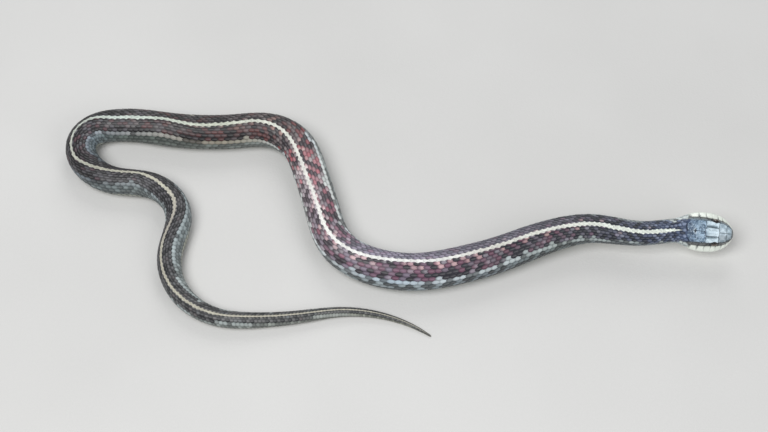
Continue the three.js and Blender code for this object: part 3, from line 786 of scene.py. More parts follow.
def makeScales():
    # A blade's points go along by the stations and across by the columns, raised towards the tip, along
    # the keel and in the middle.
    rows, counts, s, q = scalePlaces()
    size = coatDepth(s) / scaleLie["depth"]
    x, y = np.array(scaleForm["stations"])[:, None], np.array(scaleForm["columns"])
    wobble = 1 + scaleForm["wobble"] * (random.random((len(s), 2)) - 0.5)
    across = y * np.array(scaleForm["halfWidths"])[:, None]
    reach = perPlate(scaleForm["reach"] * along(scaleLie["spacing"], s) * wobble[:, 0])
    pointS = np.clip(perPlate(s) + (2 * x - 1) * reach, 0.01, bodyForm["length"] - 0.05)
    halfAcross = perPlate(scaleForm["width"] * rowWidth(rows, s) * wobble[:, 1])
    place = rowPlace(perPlate(rows), pointS) + halfAcross * across
    ridge = np.clip(1 - np.abs(y) / 0.3, 0, 1)
    height = -scaleLie["depth"] * (1 - x ** 0.85 * scaleForm["tipLift"]) - scaleForm["sunk"]
    height = height + scaleForm["keel"] * ridge * np.sin(math.pi * np.clip(x * 1.02, 0, 1)) ** 0.7
    height = height + scaleForm["crown"] * (1 - y ** 2) * np.sin(math.pi * x * 0.8)
    height = np.minimum(height * perPlate(size), -0.005)
    # One colour for the whole scale, where a fleck lies across the front and fades towards the tip.
    luck = random.random((6, len(s)))
    whole, dull = (perPlate(bodyColour(s, rows, counts, luck, share)) for share in (1, scaleForm["tipFlecks"]))
    least, more, soft = scaleForm["fleckEnd"]
    fleckEnd = perPlate(least + more * luck[1])
    tint = mixed(dull, whole, 1 - smoothstep(fleckEnd, fleckEnd + soft, x))
    # Light skin shows along one edge of some scales, and the rim takes the spots' dark colour: dark edges
    # together with painted shade in the gaps between the scales.
    edged = random.random((len(s), 2)) < np.interp(s, *np.array(scaleForm["edgedChance"]).T)[:, None]
    isEdged = edged[:, None, (y >= 0).astype(int)] & (np.abs(y) == 1) & (x < scaleForm["edgedTo"])
    tint = mixed(tint, perPlate(paintAlong("speck", s)), scaleForm["edgedShare"] * isEdged)
    darkRimAndShade = np.maximum(smoothstep(0.5, 1, np.abs(y)), 0.8 * smoothstep(0.78, 1, x))
    isPlain = perPlate(np.abs(rows) / halfRows(s) < valueAlong("sideFrom", s, rows))
    least, more = scaleForm["rimShares"]
    tint = mixed(tint, perPlate(paintAlong("spot", s)), (least + more * isPlain) * darkRimAndShade)
    # Painted shade: darker at the rim and towards the root under the scale in front, lighter towards the tip.
    shade = 1.06 - 0.26 * darkRimAndShade + 0.1 * (x - 0.5)
    tone, uneven = (perPlate(scaleForm[key][0] + scaleForm[key][1] * luck[k])
                    for key, k in (("stripeTones", 5), ("stripeEdge", 4)))
    stripe = stripeValues(pointS, place, (shade * tone)[..., None], uneven)
    # The tint is darker at the rim's foot: painted shade down the scale's sides and under it.
    values = {"tint": (tint * shade[..., None], 0.6), "keel": (ridge * np.sin(math.pi * x), 0)}
    values.update({key: (value,) for key, value in stripe.items()})
    names = ["backScales" + str(k) for k in range(1, len(scaleForm["cuts"]))]
    return makePlates(names, scaleForm["cuts"], s, (pointS, place + lean(pointS), height),
                      scaleForm["thickness"] * size, stripPlace(s, q, s), (x - 0.5, across / 2), values)


# The scutes: one wide plate for each step of the scales under the body, and pairs under the tail.
scuteForm = {
    "ends": {"body": (20.6, 434), "tail": (434, 562)},
    "reach": 0.68,  # half length over the spacing
    "stations": (0, 0.3, 0.6, 0.85, 0.96, 1),
    "columns": 22,
    "thickness": 0.12,
    "rounding": 0.35,  # share by which the ends are shorter than the middle
    "bow": 0.1,  # of the spacing, by which the middle lies farther back
    "split": 1.975,
    "rise": 0.94,  # share of the coat's depth reached at the rear edge
    "endSink": 0.1,
    "bellyFrom": (1.34, 1.62),  # the flank's colour turns into the belly's between these places
    "spots": (186, 150, 96),
    "spotPlace": (1.72, 0.1),  # their place and half width round the body
    "spotShare": 0.35,
    "spotChance": 0.6,
}


def makeScutes(name, low, high, part):
    # A plate's points run across the belly by the columns and back by the stations, rising to the rear
    # edge. Its ends are rounded off along the flanks.
    s = placeOfCount(np.arange(int(lieCounts[-1])) + 0.25)
    first, last = scuteForm["ends"][part]
    s = s[(s > first) & (s < last)]
    size = coatDepth(s) / scaleLie["depth"]
    spacing = perPlate(along(scaleLie["spacing"], s))
    x, y = np.array(scuteForm["stations"])[:, None], np.linspace(-1, 1, scuteForm["columns"])
    narrowing = 1 - scuteForm["rounding"] * np.abs(y) ** 8
    pointS = perPlate(s) + (2 * x - 1) * scuteForm["reach"] * spacing * narrowing
    pointS = pointS + scuteForm["bow"] * spacing * (1 - y ** 2)
    middle = (low + high) / 2
    pointQ = middle + (high - low) / 2 * y
    height = -scaleLie["depth"] * (1 - scuteForm["rise"] * x ** 0.8)
    height = height - scuteForm["endSink"] * smoothstep(0.93, 1, np.abs(y))
    height = np.minimum(height * perPlate(size), 0)
    fromMiddle = np.abs(wrapped(pointQ))
    isBelly = smoothstep(*scuteForm["bellyFrom"], fromMiddle)
    tint = mixed(paintAlong("flank", pointS), paintAlong("belly", pointS), isBelly)
    place, width = scuteForm["spotPlace"]
    isSpotted = random.random((len(s), 1, 1)) < scuteForm["spotChance"]
    spotted = scuteForm["spotShare"] * np.exp(-((fromMiddle - place) / width) ** 2) * isSpotted
    tint = mixed(tint, paint(scuteForm["spots"]), spotted)
    # Random tone, darker towards the root under the scute in front as painted shade; the tint is darker again at
    # the rim's foot, painted shade down the sides and under the scute.
    tint = tint * (0.93 + 0.1 * random.random((len(s), 1, 1)) - 0.1 * (1 - x))[..., None]
    return makePlates([name], (0, bodyForm["length"]), s, (pointS, pointQ, height), scuteForm["thickness"] * size,
                      stripPlace(s, middle - 4 * (low > 2), s), (x - 0.5, y / 2), {"tint": (tint, 0.7)})[0]


# The shields of the head: middle along the head, place round it, and half sizes. Those with a place of 0
# or 2 cross the middle line and the others come in pairs. Those of one kind follow one another.
shields = {
    "rostral": [(0.1, 0, 0.75, 1.2)],
    "internasal": [(2.2, 0.18, 1.2, 0.18)],
    "prefrontal": [(5.1, 0.2, 1.7, 0.2)],
    "frontal": [(9.7, 0, 2.9, 0.15)],
    "supraocular": [(9.6, 0.3, 2.8, 0.145)],
    "parietal": [(16.3, 0.2, 3.7, 0.2)],
    "nasal": [(1.7, 0.47, 0.55, 0.15), (2.9, 0.47, 0.6, 0.14)],
    "loreal": [(4.4, 0.49, 0.9, 0.11)],
    "preocular": [(5.9, 0.49, 0.6, 0.12)],
    "eyeOpening": [(8.4, 0.5, 1.9, 0.115)],
    "postocular": [(11.1, 0.455, 0.7, 0.052), (11.1, 0.55, 0.7, 0.052)],
    "temporal": [
        (13.3, 0.49, 1.6, 0.1), (16.6, 0.44, 1.6, 0.055), (16.6, 0.55, 1.6, 0.055), (19.3, 0.49, 1.2, 0.1),
    ],
    "upperLip": [
        (1, 0.8, 0.65, 0.19), (2.4, 0.79, 0.75, 0.18), (4.1, 0.78, 0.95, 0.18), (6.2, 0.78, 1.1, 0.17),
        (8.5, 0.79, 1.1, 0.17), (10.9, 0.79, 1.3, 0.17), (13.8, 0.78, 1.6, 0.18), (17.3, 0.78, 1.8, 0.18),
    ],
    "mental": [(0.1, 2, 0.95, 1.15)],
    "lowerLip": [
        (2.1, 1.3, 0.6, 0.22), (3.1, 1.2, 0.8, 0.15), (4.8, 1.18, 0.95, 0.15), (6.9, 1.18, 1.1, 0.15),
        (9.2, 1.18, 1.2, 0.15), (11.8, 1.18, 1.4, 0.15), (14.7, 1.18, 1.5, 0.15), (17.9, 1.18, 1.7, 0.15),
    ],
    "chinShield": [(4.4, 1.8, 2.1, 0.2), (9, 1.78, 2.4, 0.2)],
    "chinSide": [(7.6, 1.48, 2.2, 0.11), (12.4, 1.5, 2.4, 0.13)],
    "gular": [(13.6, 1.8, 1.9, 0.18), (17.6, 1.72, 2, 0.24)],
}
shieldForm = {
    "rays": 56,
    "step": 0.02,  # of the half sizes, while looking for the seam
    "halvings": 7,
    "reach": 1.9,
    "groove": 0.06,  # millimetres from the seam to the plate's foot
    "insets": (0, 0, 0.03, 0.08, 0.16, 0.3, 0.3, 0.3, 0.3),  # millimetres in from the edge
    "shares": (1, 1, 1, 1, 1, 1, 0.78, 0.52, 0.26),  # and then towards the middle
    "heights": (-0.42, -0.15, -0.07, -0.025, -0.008, 0, 0, 0, 0),
    "range": (0.03, 21.2),
    "limits": {"crownShields": (-0.97, 0.97), "chinShields": (1.04, 2.96)},  # places above the mouth and below
    "pitDepth": 0.5,
    "rearDepth": 0.2,
    "napeEdge": [  # how far back the shields go, from the middle of the crown round to the throat
        (0, 20.4), (0.1, 21.3), (0.22, 20.9), (0.36, 19.4), (0.46, 19.9), (0.58, 20.4), (0.7, 19.7),
        (0.86, 20.1), (1, 20.9), (1.15, 20.4), (1.4, 20.2), (1.7, 20.9), (2, 21.2),
    ],
}


def shieldImages():
    # Every shield with its images across the crown and under the chin, and its number in its kind.
    names, seeds = [], []
    for name, places in shields.items():
        for number, (t, q, halfT, halfQ) in enumerate(places):
            for side in ([q] if q in (0, 2) else [q, -q, 4 - q]):
                names.append((name, number))
                seeds.append((t, side, halfT, halfQ))
    return names, np.array(seeds)


def isNearest(seeds, own, t, q):
    # Whether a place is nearer to its own shield's middle than to any other, in fourth powers of the
    # distances over the half sizes.
    away = (np.stack([t, q], axis=-1)[..., None, :] - seeds[:, :2]) / seeds[:, 2:]
    return (away ** 4).sum(axis=-1).argmin(axis=-1) == own


def napeEdge(q):
    # How far back the shields go at a place round the head.
    return along(shieldForm["napeEdge"], np.abs(wrapped(q)))


def shieldEdge(seeds, own, limits):
    # How far each ray from the middle goes, in half sizes, before another shield is nearer: the last
    # step still inside, halved down towards the seam.
    t, q, halfT, halfQ = seeds[own]
    angle = np.arange(shieldForm["rays"]) * 2 * math.pi / shieldForm["rays"]
    wayT, wayQ = halfT * np.cos(angle), halfQ * np.sin(angle)
    first, last = shieldForm["range"]

    def inside(reach):
        atT, atQ = t + reach * wayT, q + reach * wayQ
        fits = (atT > first) & (atT < last) & (atQ > limits[0]) & (atQ < limits[1]) & (atT < napeEdge(atQ))
        return fits & isNearest(seeds, own, atT, atQ)

    step = shieldForm["step"]
    steps = np.arange(1, int(shieldForm["reach"] / step) + 1)[:, None] * step
    low = np.cumprod(inside(steps), axis=0).sum(axis=0) * step
    high = low + step
    for _ in range(shieldForm["halvings"]):
        half = (low + high) / 2
        good = inside(half)
        low, high = np.where(good, half, low), np.where(good, high, half)
    return wayT * low, wayQ * low


headColours = {
    "crown": (152, 172, 184),
    # The pale crown colour is brightened by a painted sky reflection.
    "crownPaleSheen": (222, 240, 250),
    "crownDark": (84, 106, 118),
    "parietal": (172, 198, 220),
    "parietalRear": (112, 134, 160),
    "cheek": (96, 112, 122),
    "cheekDark": (26, 36, 40),
    "lip": (238, 244, 234),
    "lipSeam": (32, 42, 48),
    "chin": (226, 228, 212),
    "snoutRim": (84, 96, 100),
    # The pit's colour is painted shade in the nostril.
    "pit": (12, 12, 14),
    "spotPale": (206, 222, 234),
    "spotDark": (22, 32, 46),
}
headTints = {name: paint(colour) for name, colour in headColours.items()}
headMarks = {
    "shadeBand": (0.162, 0.052, 7.0, 13.0),  # a dark band of painted shade between frontal and supraocular: place, width, ends
    "streaks": (0.055, 0.016),  # fine lines along the frontal: their place and width
    "parietalFrom": (11.4, 13.2),  # the pale crown turns into the mottled one between these
    "parietalSpot": (17.3, 0.03, 0.42),  # along, place round, radius in millimetres
    "mottle": (0.3, 1.0, 0.05),  # on the crown in front, behind, and on the lips and chin
    "lipTop": (0.6, 0.64),  # the dark cheek ends and the pale lip begins between these
}


def headMottle(t, q):
    # How strong the clouds and specks are: more of them behind, hardly any on the lips.
    side = np.abs(wrapped(q))
    front, behind, low = headMarks["mottle"]
    above = front + (behind - front) * smoothstep(*headMarks["parietalFrom"], t)
    above = above * (1 - 0.75 * smoothstep(0.38, 0.42, side))
    return above + (low - above) * smoothstep(0.56, 0.63, side)


def clouds(t, side, luck):
    # Blotches about a millimetre across: sines of both places, one inside another, from 0 to 1.
    first = np.sin(2.7 * t + 3 * np.sin(17 * side + luck * 7))
    return 0.5 + 0.5 * first * np.sin(31 * side + 2.4 * np.sin(1.9 * t + luck * 11) + 4 * luck)


def crownColour(name, t, q, luck):
    # Pale plates, paler in patches where a painted sky reflection lies, with a band of painted shade along the
    # seam beside the frontal and fine lines along it, slate behind them, a dark rim at the snout, the snout in
    # painted shade on its right, and a small dark spot in a light ring on the parietals.
    tints, side = headTints, np.abs(q)
    snoutRightShade = smoothstep(0.0, 0.16, q) * (1 - smoothstep(6.4, 7.2, t))  # painted shade: the snout is darker on its right, which is turned from the light
    wave = 0.5 + 0.5 * np.sin(t * 1.9 + luck * 9) * np.cos(side * 21 + luck * 5)
    # Patches of painted sky reflection make the pale plates paler.
    palenessAndSheen = 0.75 + 0.25 * wave if name in ("frontal", "supraocular") else 0.15 + 0.75 * wave ** 2
    colour = mixed(tints["crown"], tints["crownPaleSheen"], palenessAndSheen) * (1.05 - 0.42 * snoutRightShade)[..., None]
    place, width, first, last = headMarks["shadeBand"]
    arch = place + 0.02 * np.sin((t - first) / (last - first) * math.pi)
    shadeBand = np.exp(-((side - arch) / width) ** 4) * smoothstep(first, first + 1, t)
    shadeBand = shadeBand * (1 - smoothstep(last - 1.2, last, t))
    line, thin = headMarks["streaks"]
    streak = 0.5 * np.exp(-((side - line) / thin) ** 2) * smoothstep(7, 8, t) * (1 - smoothstep(11, 12.5, t))
    colour = mixed(colour, tints["crownDark"], np.maximum(0.9 * shadeBand, streak))
    behind = mixed(tints["parietal"], tints["parietalRear"], smoothstep(15.5, 19.5, t))
    behind = mixed(behind, tints["spotDark"], 0.34 * smoothstep(0.2, 0.75, clouds(t, side, luck)))
    colour = mixed(colour, behind, smoothstep(*headMarks["parietalFrom"], t))
    colour = mixed(colour, tints["snoutRim"], 0.85 * (1 - smoothstep(0.3, 1.2, t)))
    spotT, spotQ, spotR = headMarks["parietalSpot"]
    away = np.hypot(t - spotT, (side - spotQ) * math.pi / 2 * 8) / spotR
    colour = mixed(colour, tints["spotPale"], 1 - smoothstep(1.5, 2.3, away))
    return mixed(colour, tints["spotDark"], 1 - smoothstep(0.8, 1.2, away))


def shieldColour(name, number, t, q, seed, fromEdge, luck):
    # The crown's colours, the cheek's grey that darkens down to the lip and is painted darker on the right and
    # lighter on the left as light and shade, or a lip's cream with a dark wedge at its seams that is broadest on
    # top, all darker at every edge as painted shade in the seams' grooves, with the nostril painted dark as shade
    # in its pit.
    tints, side = headTints, np.abs(wrapped(q))
    isUpperLip, isLip = name == "upperLip", name.endswith("Lip")
    if isLip:
        along1 = (t - seed[0]) / seed[2]
        top = (1 - smoothstep(0.62, 0.66 + 0.2 * luck ** 2, side)) * (0.5 + 0.5 * luck) if isUpperLip else 0.1
        wedge = smoothstep(0.9 - 0.4 * top, 0.99 - 0.3 * top, along1) * (0.06 + 0.94 * top)
        wedge = np.maximum(wedge, 0.7 * top * smoothstep(0.66, 0.92, -along1)) * (number > 0)
        colour = mixed(tints["lip"] * (0.94 + 0.1 * luck), tints["lipSeam"], 0.95 * wedge)
        if isUpperLip:
            colour = mixed(colour, tints["cheekDark"], 0.9 * (1 - smoothstep(*headMarks["lipTop"], side)))
    elif side.min() > 1:
        colour = tints["chin"] * (0.96 + 0.06 * luck)
    elif name == "rostral":
        colour = mixed(tints["snoutRim"], tints["lip"], smoothstep(0.5, 0.75, side))
    elif side.mean() > 0.39:
        colour = mixed(tints["cheek"], tints["cheekDark"], smoothstep(0.4, 0.56, side) * (0.7 + 0.3 * luck))
        # Painted light and shade: the right cheek, turned down by the roll, is darker and the left one lighter.
        colour = colour * (0.34 if seed[1] > 0 else 1.5)
    else:
        colour = crownColour(name, t, wrapped(q), luck)
    # Painted shade in the grooves: every edge darker, most on the crown in front.
    rim = 0.14 if isLip or side.min() > 1 else 0.5 - 0.44 * smoothstep(13, 18, t)
    colour = colour * (1 - rim * np.exp(-fromEdge / 0.1))[..., None]
    # The nostril painted near black: painted shade in its pit.
    radius = headForm["nostril"]["radius"]
    return mixed(colour, tints["pit"], 1 - smoothstep(radius * 0.8, radius * 1.5, fromNostril(t, q)))


def fromNostril(t, q):
    # The distance from the middle of the nostril, in millimetres.
    nostril = headForm["nostril"]
    return np.hypot(t - nostril["along"], (np.abs(wrapped(q)) - nostril["around"]) * 7)


def rearSink(t):
    # How deep the shields lie towards the neck, to meet the scales there.
    return shieldForm["rearDepth"] * smoothstep(18.6, 21.2, t)


def makeShield(name, number, seeds, own, limits):
    # A round grid: rays from the shield's middle to its seam, and rings that go down at the rim and on to
    # a foot in the skin. Nasal shields sink at the nostril.
    insets, shares, heights = (np.array(shieldForm[key])[:, None] for key in ("insets", "shares", "heights"))
    t, q = seeds[own][:2]
    isLip = name.endswith("Lip")
    wayT, wayQ = shieldEdge(seeds, own, limits)
    seam = bodyPoint(t + wayT, q + wayQ)
    reach = np.maximum(np.linalg.norm(seam - bodyPoint(np.array([t]), np.array([q])), axis=1), 1e-3)
    inwards = np.minimum(shieldForm["groove"] * (0.1 if isLip else 1) + insets, reach * 0.6)
    share = (1 - inwards / reach) * shares
    ringT, ringQ = t + wayT * share, q + wayQ * share
    pitWidth = headForm["nostril"]["radius"] * 1.15
    pit = shieldForm["pitDepth"] * np.exp(-(fromNostril(ringT, ringQ) / pitWidth) ** 4) * (heights > -0.2)
    seamDepth = 0.3 if isLip else np.clip(reach.min() / 0.9, 0.35, 1)
    tipDepth = 0.45 + 0.55 * smoothstep(0, 1.2, ringT)
    height = heights * np.where(heights < -0.3, tipDepth, seamDepth) - 0.05 * shares ** 2 - rearSink(ringT)
    points = surface(ringT, ringQ, height - pit)
    ends = surface(t, q, np.array([heights[0, 0], -rearSink(t)]))
    luck = random.random()
    tint = shieldColour(name, number, ringT, ringQ, seeds[own], insets + (1 - shares) * reach, luck)
    middle = shieldColour(name, number, np.array([t]), np.array([q]), seeds[own], np.array([9.0]), luck)
    everyT, everyQ = np.append(ringT, [t, t]), np.append(ringQ, [q, q])
    margin = bakeStrips["margin"]
    return (
        np.concatenate([points.reshape(-1, 3), ends]),
        # The underside's middle at half the foot's colour: painted shade under the shield.
        np.concatenate([tint.reshape(-1, 3), tint[0, :1] * 0.5, middle]),
        headMottle(everyT, everyQ),
        margin + (1 - 2 * margin) * np.stack([everyT / 24, (everyQ + 1) / 4], axis=1),
    )


def makeShields():
    # Every shield's grid above the mouth line or below it, gathered into three pieces.
    names, seeds = shieldImages()
    groups = {"crownShields": [], "lipShields": [], "chinShields": []}
    for own, (name, number) in enumerate(names):
        for key, limits in shieldForm["limits"].items():
            if name != "eyeOpening" and limits[0] < seeds[own][1] < limits[1]:
                key = "lipShields" if name.endswith("Lip") or name == "mental" else key
                groups[key].append(makeShield(name, number, seeds, own, limits))
    faceLists = [faces[:, ::-1] for faces in closedFaces(len(shieldForm["insets"]), shieldForm["rays"])]
    pieces = {}
    for key, made in groups.items():
        points, tint, mottle, bake = (np.stack(part) for part in zip(*made))
        values = {"tint": tint, "mottle": mottle}
        pieces[key] = addMesh(key, points, repeated(faceLists, *points.shape[:2]), values, bake)
    return pieces


# The eyes: a clear round scale over a brown iris and a round pupil.
eyeForm = {
    "rings": 40,
    "columns": 56,
    "lookOut": (0.12, 1, 0.2),  # forwards, sideways and up
    "bounds": {"iris": (23.5, 26.5), "irisRim": (25, 36), "white": (44, 51)},  # degrees from the eye's own axis
    "pupilColour": (8, 8, 9),
    "irisInner": (122, 90, 52),
    "irisOuter": (52, 40, 29),
    "whiteColour": (20, 20, 22),
}


def makeEye(name, side):
    # A ball in rings round the way the eye looks: colour by the angle from that way.
    t = np.array([headForm["eye"]["along"]])
    middle, right, up = axesAt(t)
    forwards = np.cross(right, up)[0]
    forwards = forwards * np.sign(forwards @ (middle - axesAt(t + 1)[0])[0])
    ahead, out, high = eyeForm["lookOut"]
    axis = unit(forwards * ahead + right[0] * side * out + up[0] * high)
    first = unit(np.cross(axis, up[0]))
    second = np.cross(axis, first)
    angle = np.linspace(0, math.pi, eyeForm["rings"] + 1)[1:-1, None, None]
    turn = np.linspace(0, 2 * math.pi, eyeForm["columns"], endpoint=False)[:, None]
    ball = axis * np.cos(angle) + np.sin(angle) * (first * np.cos(turn) + second * np.sin(turn))
    flat = np.concatenate([ball.reshape(-1, 3), [axis], [-axis]])
    degrees = np.degrees(np.arccos(np.clip(flat @ axis, -1, 1)))
    bounds = eyeForm["bounds"]
    isRim = smoothstep(*bounds["irisRim"], degrees)
    iris = mixed(paint(eyeForm["irisInner"]), paint(eyeForm["irisOuter"]), isRim)
    tint = mixed(paint(eyeForm["pupilColour"]), iris, smoothstep(*bounds["iris"], degrees))
    tint = mixed(tint, paint(eyeForm["whiteColour"]), smoothstep(*bounds["white"], degrees))
    points = eyeCentre(side) + flat * headForm["eye"]["radius"]
    return addMesh(name, points, closedFaces(*ball.shape[:2]), {"tint": tint})


def operator(operation, isReflected=False):
    # A method that adds a Math node with that operation, its sides changed over where it is reflected.
    def method(self, other):
        return self.finish.math(operation, *((other, self) if isReflected else (self, other)))
    return method


class Wire:
    # An output of a node that sums are written with: each operator adds a Math node.
    def __init__(self, finish, socket):
        self.finish, self.socket = finish, socket

    __add__, __radd__ = operator("ADD"), operator("ADD", True)
    __sub__, __rsub__ = operator("SUBTRACT"), operator("SUBTRACT", True)
    __mul__, __rmul__ = operator("MULTIPLY"), operator("MULTIPLY", True)


class Finish:
    # A material and the nodes that it is made of.
    def __init__(self, name):
        self.material = bpy.data.materials.new(name)
        self.material.use_nodes = True
        self.tree = self.material.node_tree
        self.tree.nodes.clear()

    def node(self, kind, settings=None, values=None, output=0):
        # Adds a node: its settings first, then values or links into its sockets, and gives one output.
        made = self.tree.nodes.new(kind)
        for name, value in (settings or {}).items():
            setattr(made, name, value)
        for name, value in (values or {}).items():
            if isinstance(value, Wire):
                self.tree.links.new(value.socket, made.inputs[name])
            else:
                made.inputs[name].default_value = value
        return Wire(self, made.outputs[output]) if len(made.outputs) else made

    def math(self, operation, first, second):
        return self.node("ShaderNodeMath", {"operation": operation}, {0: first, 1: second})

    def mix(self, share, low, high, blend="MIX"):
        # Two colours mixed by the share.
        return self.node("ShaderNodeMix", {"data_type": "RGBA", "blend_type": blend},
                         {0: share, 6: low, 7: high}, output=2)

    def value(self, name):
        return self.node("ShaderNodeAttribute", {"attribute_name": name}, output=2)

    def colour(self, name):
        return self.node("ShaderNodeAttribute", {"attribute_name": name}, output=0)

    def place(self):
        return self.node("ShaderNodeTexCoord", output=3)

    def noise(self, scale, detail, roughness, distortion=0.0):
        return self.node("ShaderNodeTexNoise", None, {
            "Vector": self.place(), "Scale": scale, "Detail": detail, "Roughness": roughness,
            "Distortion": distortion,
        })

    def step(self, value, low, high):
        # 0 below low, 1 above high.
        return self.node("ShaderNodeMapRange", {"interpolation_type": "SMOOTHSTEP"},
                         {0: value, 1: low, 2: high, 3: 0.0, 4: 1.0})

    def bump(self, height, distance):
        return self.node("ShaderNodeBump", None, {"Strength": 1.0, "Distance": distance, "Height": height})

    def shade(self, values):
        surfaceNode = self.node("ShaderNodeBsdfPrincipled", None, values)
        self.node("ShaderNodeOutputMaterial", None, {"Surface": surfaceNode})
        return self.material


def grey(level):
    return (level, level, level, 1.0)


scaleFinish = {
    "roughness": 0.52,
    "roughnessSpread": 0.22,
    "specular": 0.36,
    "coat": 0.05,
    "coatRoughness": 0.25,
    "cloud": 650,
    "grain": 2600,
    "fine": 9000,  # of the finest bumps, for each metre
    "bump": 0.00005,
}


def scaleMaterial(name, wet):
    # The painted colour, with a painted highlight along the keel, worn lighter and darker by noise, over fine
    # grain.
    finish = Finish(name)
    isStripe = finish.step(finish.value("stripe"), 0.95, 1.05)
    tint = finish.mix(isStripe, finish.colour("tint"), finish.colour("stripeTint"))
    keel = finish.value("keel")
    cloud = finish.noise(scaleFinish["cloud"], 4, 0.6)
    grain = finish.noise(scaleFinish["grain"], 3, 0.6)
    fine = finish.noise(scaleFinish["fine"], 2, 0.5)
    worn = finish.mix(finish.step(cloud, 0.4, 0.65) * 0.5, tint, grey(0.6), "SOFT_LIGHT")
    worn = finish.mix(finish.step(grain, 0.5, 0.72) * 0.28, worn, grey(0.18), "MULTIPLY")
    roughness = scaleFinish["roughness"] - 0.1 * wet + (grain - 0.5) * scaleFinish["roughnessSpread"]
    return finish.shade({
        # A painted highlight along the keel lightens the colour.
        "Base Color": finish.mix(keel * 0.14, worn, grey(0.75), "SCREEN"),
        "Roughness": roughness - keel * 0.08,
        "Specular IOR Level": scaleFinish["specular"],
        "Coat Weight": scaleFinish["coat"] + 0.1 * wet,
        "Coat Roughness": scaleFinish["coatRoughness"],
        "Normal": finish.bump(grain * 0.6 + fine * 0.25 + keel * 0.4, scaleFinish["bump"]),
    })


shieldFinish = {
    "roughness": 0.3,
    "coat": 0.75,
    "coatRoughness": 0.12,
    "cloud": 700,
    "grain": 2400,
    "specks": 1500,  # for each metre
    "speckRadius": 0.42,  # of the cells they lie in, at the most
    "dark": (0.26, 0.32, 0.38, 1),
    "pale": (0.62, 0.74, 0.84, 1),
    "bump": 0.00006,
}


def shieldMaterial(name):
    # The painted colour with dark clouds and pale specks as strong as the mottle says, under a wet gloss.
    finish = Finish(name)
    mottle = finish.value("mottle")
    cloud = finish.noise(shieldFinish["cloud"], 5, 0.65, 0.6)
    grain = finish.noise(shieldFinish["grain"], 4, 0.6)
    cells = {"Vector": finish.place(), "Scale": shieldFinish["specks"]}
    dots, draw = (finish.node("ShaderNodeTexVoronoi", {"feature": "F1"}, cells, output) for output in (0, 1))
    radius = draw * shieldFinish["speckRadius"]
    speck = (1 - finish.step(dots, radius * 0.6, radius * 1.4)) * mottle
    clouded = finish.step(cloud, 0.47, 0.58) * mottle
    shown = finish.mix(clouded, finish.colour("tint"), shieldFinish["dark"], "MULTIPLY")
    shown = finish.mix(speck * 0.75, shown, shieldFinish["pale"])
    return finish.shade({
        "Base Color": finish.mix(finish.step(grain, 0.52, 0.7) * 0.25, shown, grey(0.25), "MULTIPLY"),
        "Roughness": shieldFinish["roughness"] + (grain - 0.5) * 0.2,
        "Coat Weight": shieldFinish["coat"],
        "Coat Roughness": shieldFinish["coatRoughness"],
        "Normal": finish.bump(cloud * 0.5 + grain * 0.35 + dots * 0.25, shieldFinish["bump"]),
    })


def eyeMaterial(name):
    # The painted iris and pupil, streaked by fine noise, under a clear smooth coat.
    finish = Finish(name)
    streak = finish.noise(3800, 4, 0.7)
    shown = finish.mix(finish.step(streak, 0.4, 0.7) * 0.45, finish.colour("tint"), grey(0.12), "MULTIPLY")
    return finish.shade({
        "Base Color": shown,
        "Roughness": 0.16 + streak * 0.06,
        "Coat Weight": 1.0,
        "Coat Roughness": 0.03,
        "IOR": 1.42,
    })


def floorMaterial(name):
    # A pale matt board with the faintest cloud and grain.
    finish = Finish(name)
    cloud, grain = finish.noise(6, 3, 0.5), finish.noise(900, 2, 0.5)
    return finish.shade({
        "Base Color": finish.mix(finish.step(cloud, 0.3, 0.7), (0.66, 0.655, 0.64, 1), (0.71, 0.705, 0.69, 1)),
        "Roughness": 0.8 + (grain - 0.5) * 0.1,
        "Normal": finish.bump(grain, 0.00008),
    })


skin = makeSkin()
skin.data.materials.append(scaleMaterial("skinFinish", 0))
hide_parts(*[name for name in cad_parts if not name.startswith("eye")])

coatMaterial = scaleMaterial("scaleFinish", 0.4)
for piece in makeScales():
    piece.data.materials.append(coatMaterial)

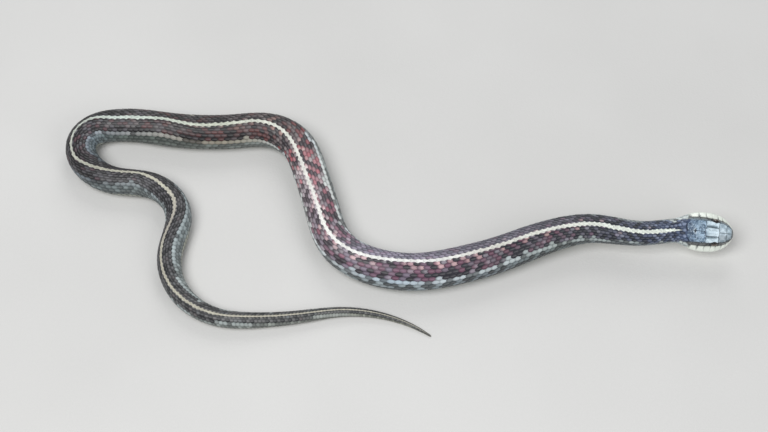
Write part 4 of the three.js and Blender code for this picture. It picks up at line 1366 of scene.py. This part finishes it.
scuteMaterial = scaleMaterial("scuteFinish", 1)
edge, split = scaleLie["edge"], scuteForm["split"]
for scutes in (
    makeScutes("bellyScutes", edge, 4 - edge, "body"),
    makeScutes("tailScutesRight", edge, split, "tail"),
    makeScutes("tailScutesLeft", 4 - split, 4 - edge, "tail"),
):
    scutes.data.materials.append(scuteMaterial)

crownMaterial = shieldMaterial("crownFinish")
lipMaterial = shieldMaterial("lipFinish")
for name, piece in makeShields().items():
    piece.data.materials.append(crownMaterial if name == "crownShields" else lipMaterial)

eyeFinish = eyeMaterial("eyeFinish")
for name, node, side in (("eyeballLeft", "eye_left", -1), ("eyeballRight", "eye_right", 1)):
    eye = makeEye(name, side)
    eye.data.materials.append(eyeFinish)
    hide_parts(node)
print("snake made")

studio = {
    "floorHalf": 1.6,
    "lamps": {
        "key": {"place": (-0.35, -0.35, 0.9), "size": 0.7, "power": 7},
        "fill": {"place": (0.6, -0.5, 0.55), "size": 0.6, "power": 1.8},
        "rim": {"place": (0.1, 0.75, 0.6), "size": 0.6, "power": 2.3},
    },
    "sky": ((0.93, 0.96, 1.0, 1), 0.27),
}


def makeStudio():
    # A wide pale floor, three soft lamps that look at the snake's middle, and an even sky.
    half = studio["floorHalf"]
    mesh = bpy.data.meshes.new("floor")
    corners = [(-half, -half, 0), (half, -half, 0), (half, half, 0), (-half, half, 0)]
    mesh.from_pydata(corners, [], [(0, 1, 2, 3)])
    mesh.materials.append(floorMaterial("floorFinish"))
    floor = addObject("floor", mesh)
    for name, lamp in studio["lamps"].items():
        data = bpy.data.lights.new(name + "Lamp", "AREA")
        data.shape = "DISK"
        data.size, data.energy = lamp["size"], lamp["power"]
        light = addObject(name + "Lamp", data)
        light.location = x, y, z = lamp["place"]
        light.rotation_euler = (math.atan2(math.hypot(x, y), z), 0, math.atan2(x, -y))
    world = bpy.data.worlds.new("sky")
    world.use_nodes = True
    for socket, value in zip(world.node_tree.nodes["Background"].inputs, studio["sky"]):
        socket.default_value = value
    bpy.context.scene.world = world
    bpy.context.scene.view_settings.view_transform = "Standard"


makeStudio()
print("studio made")
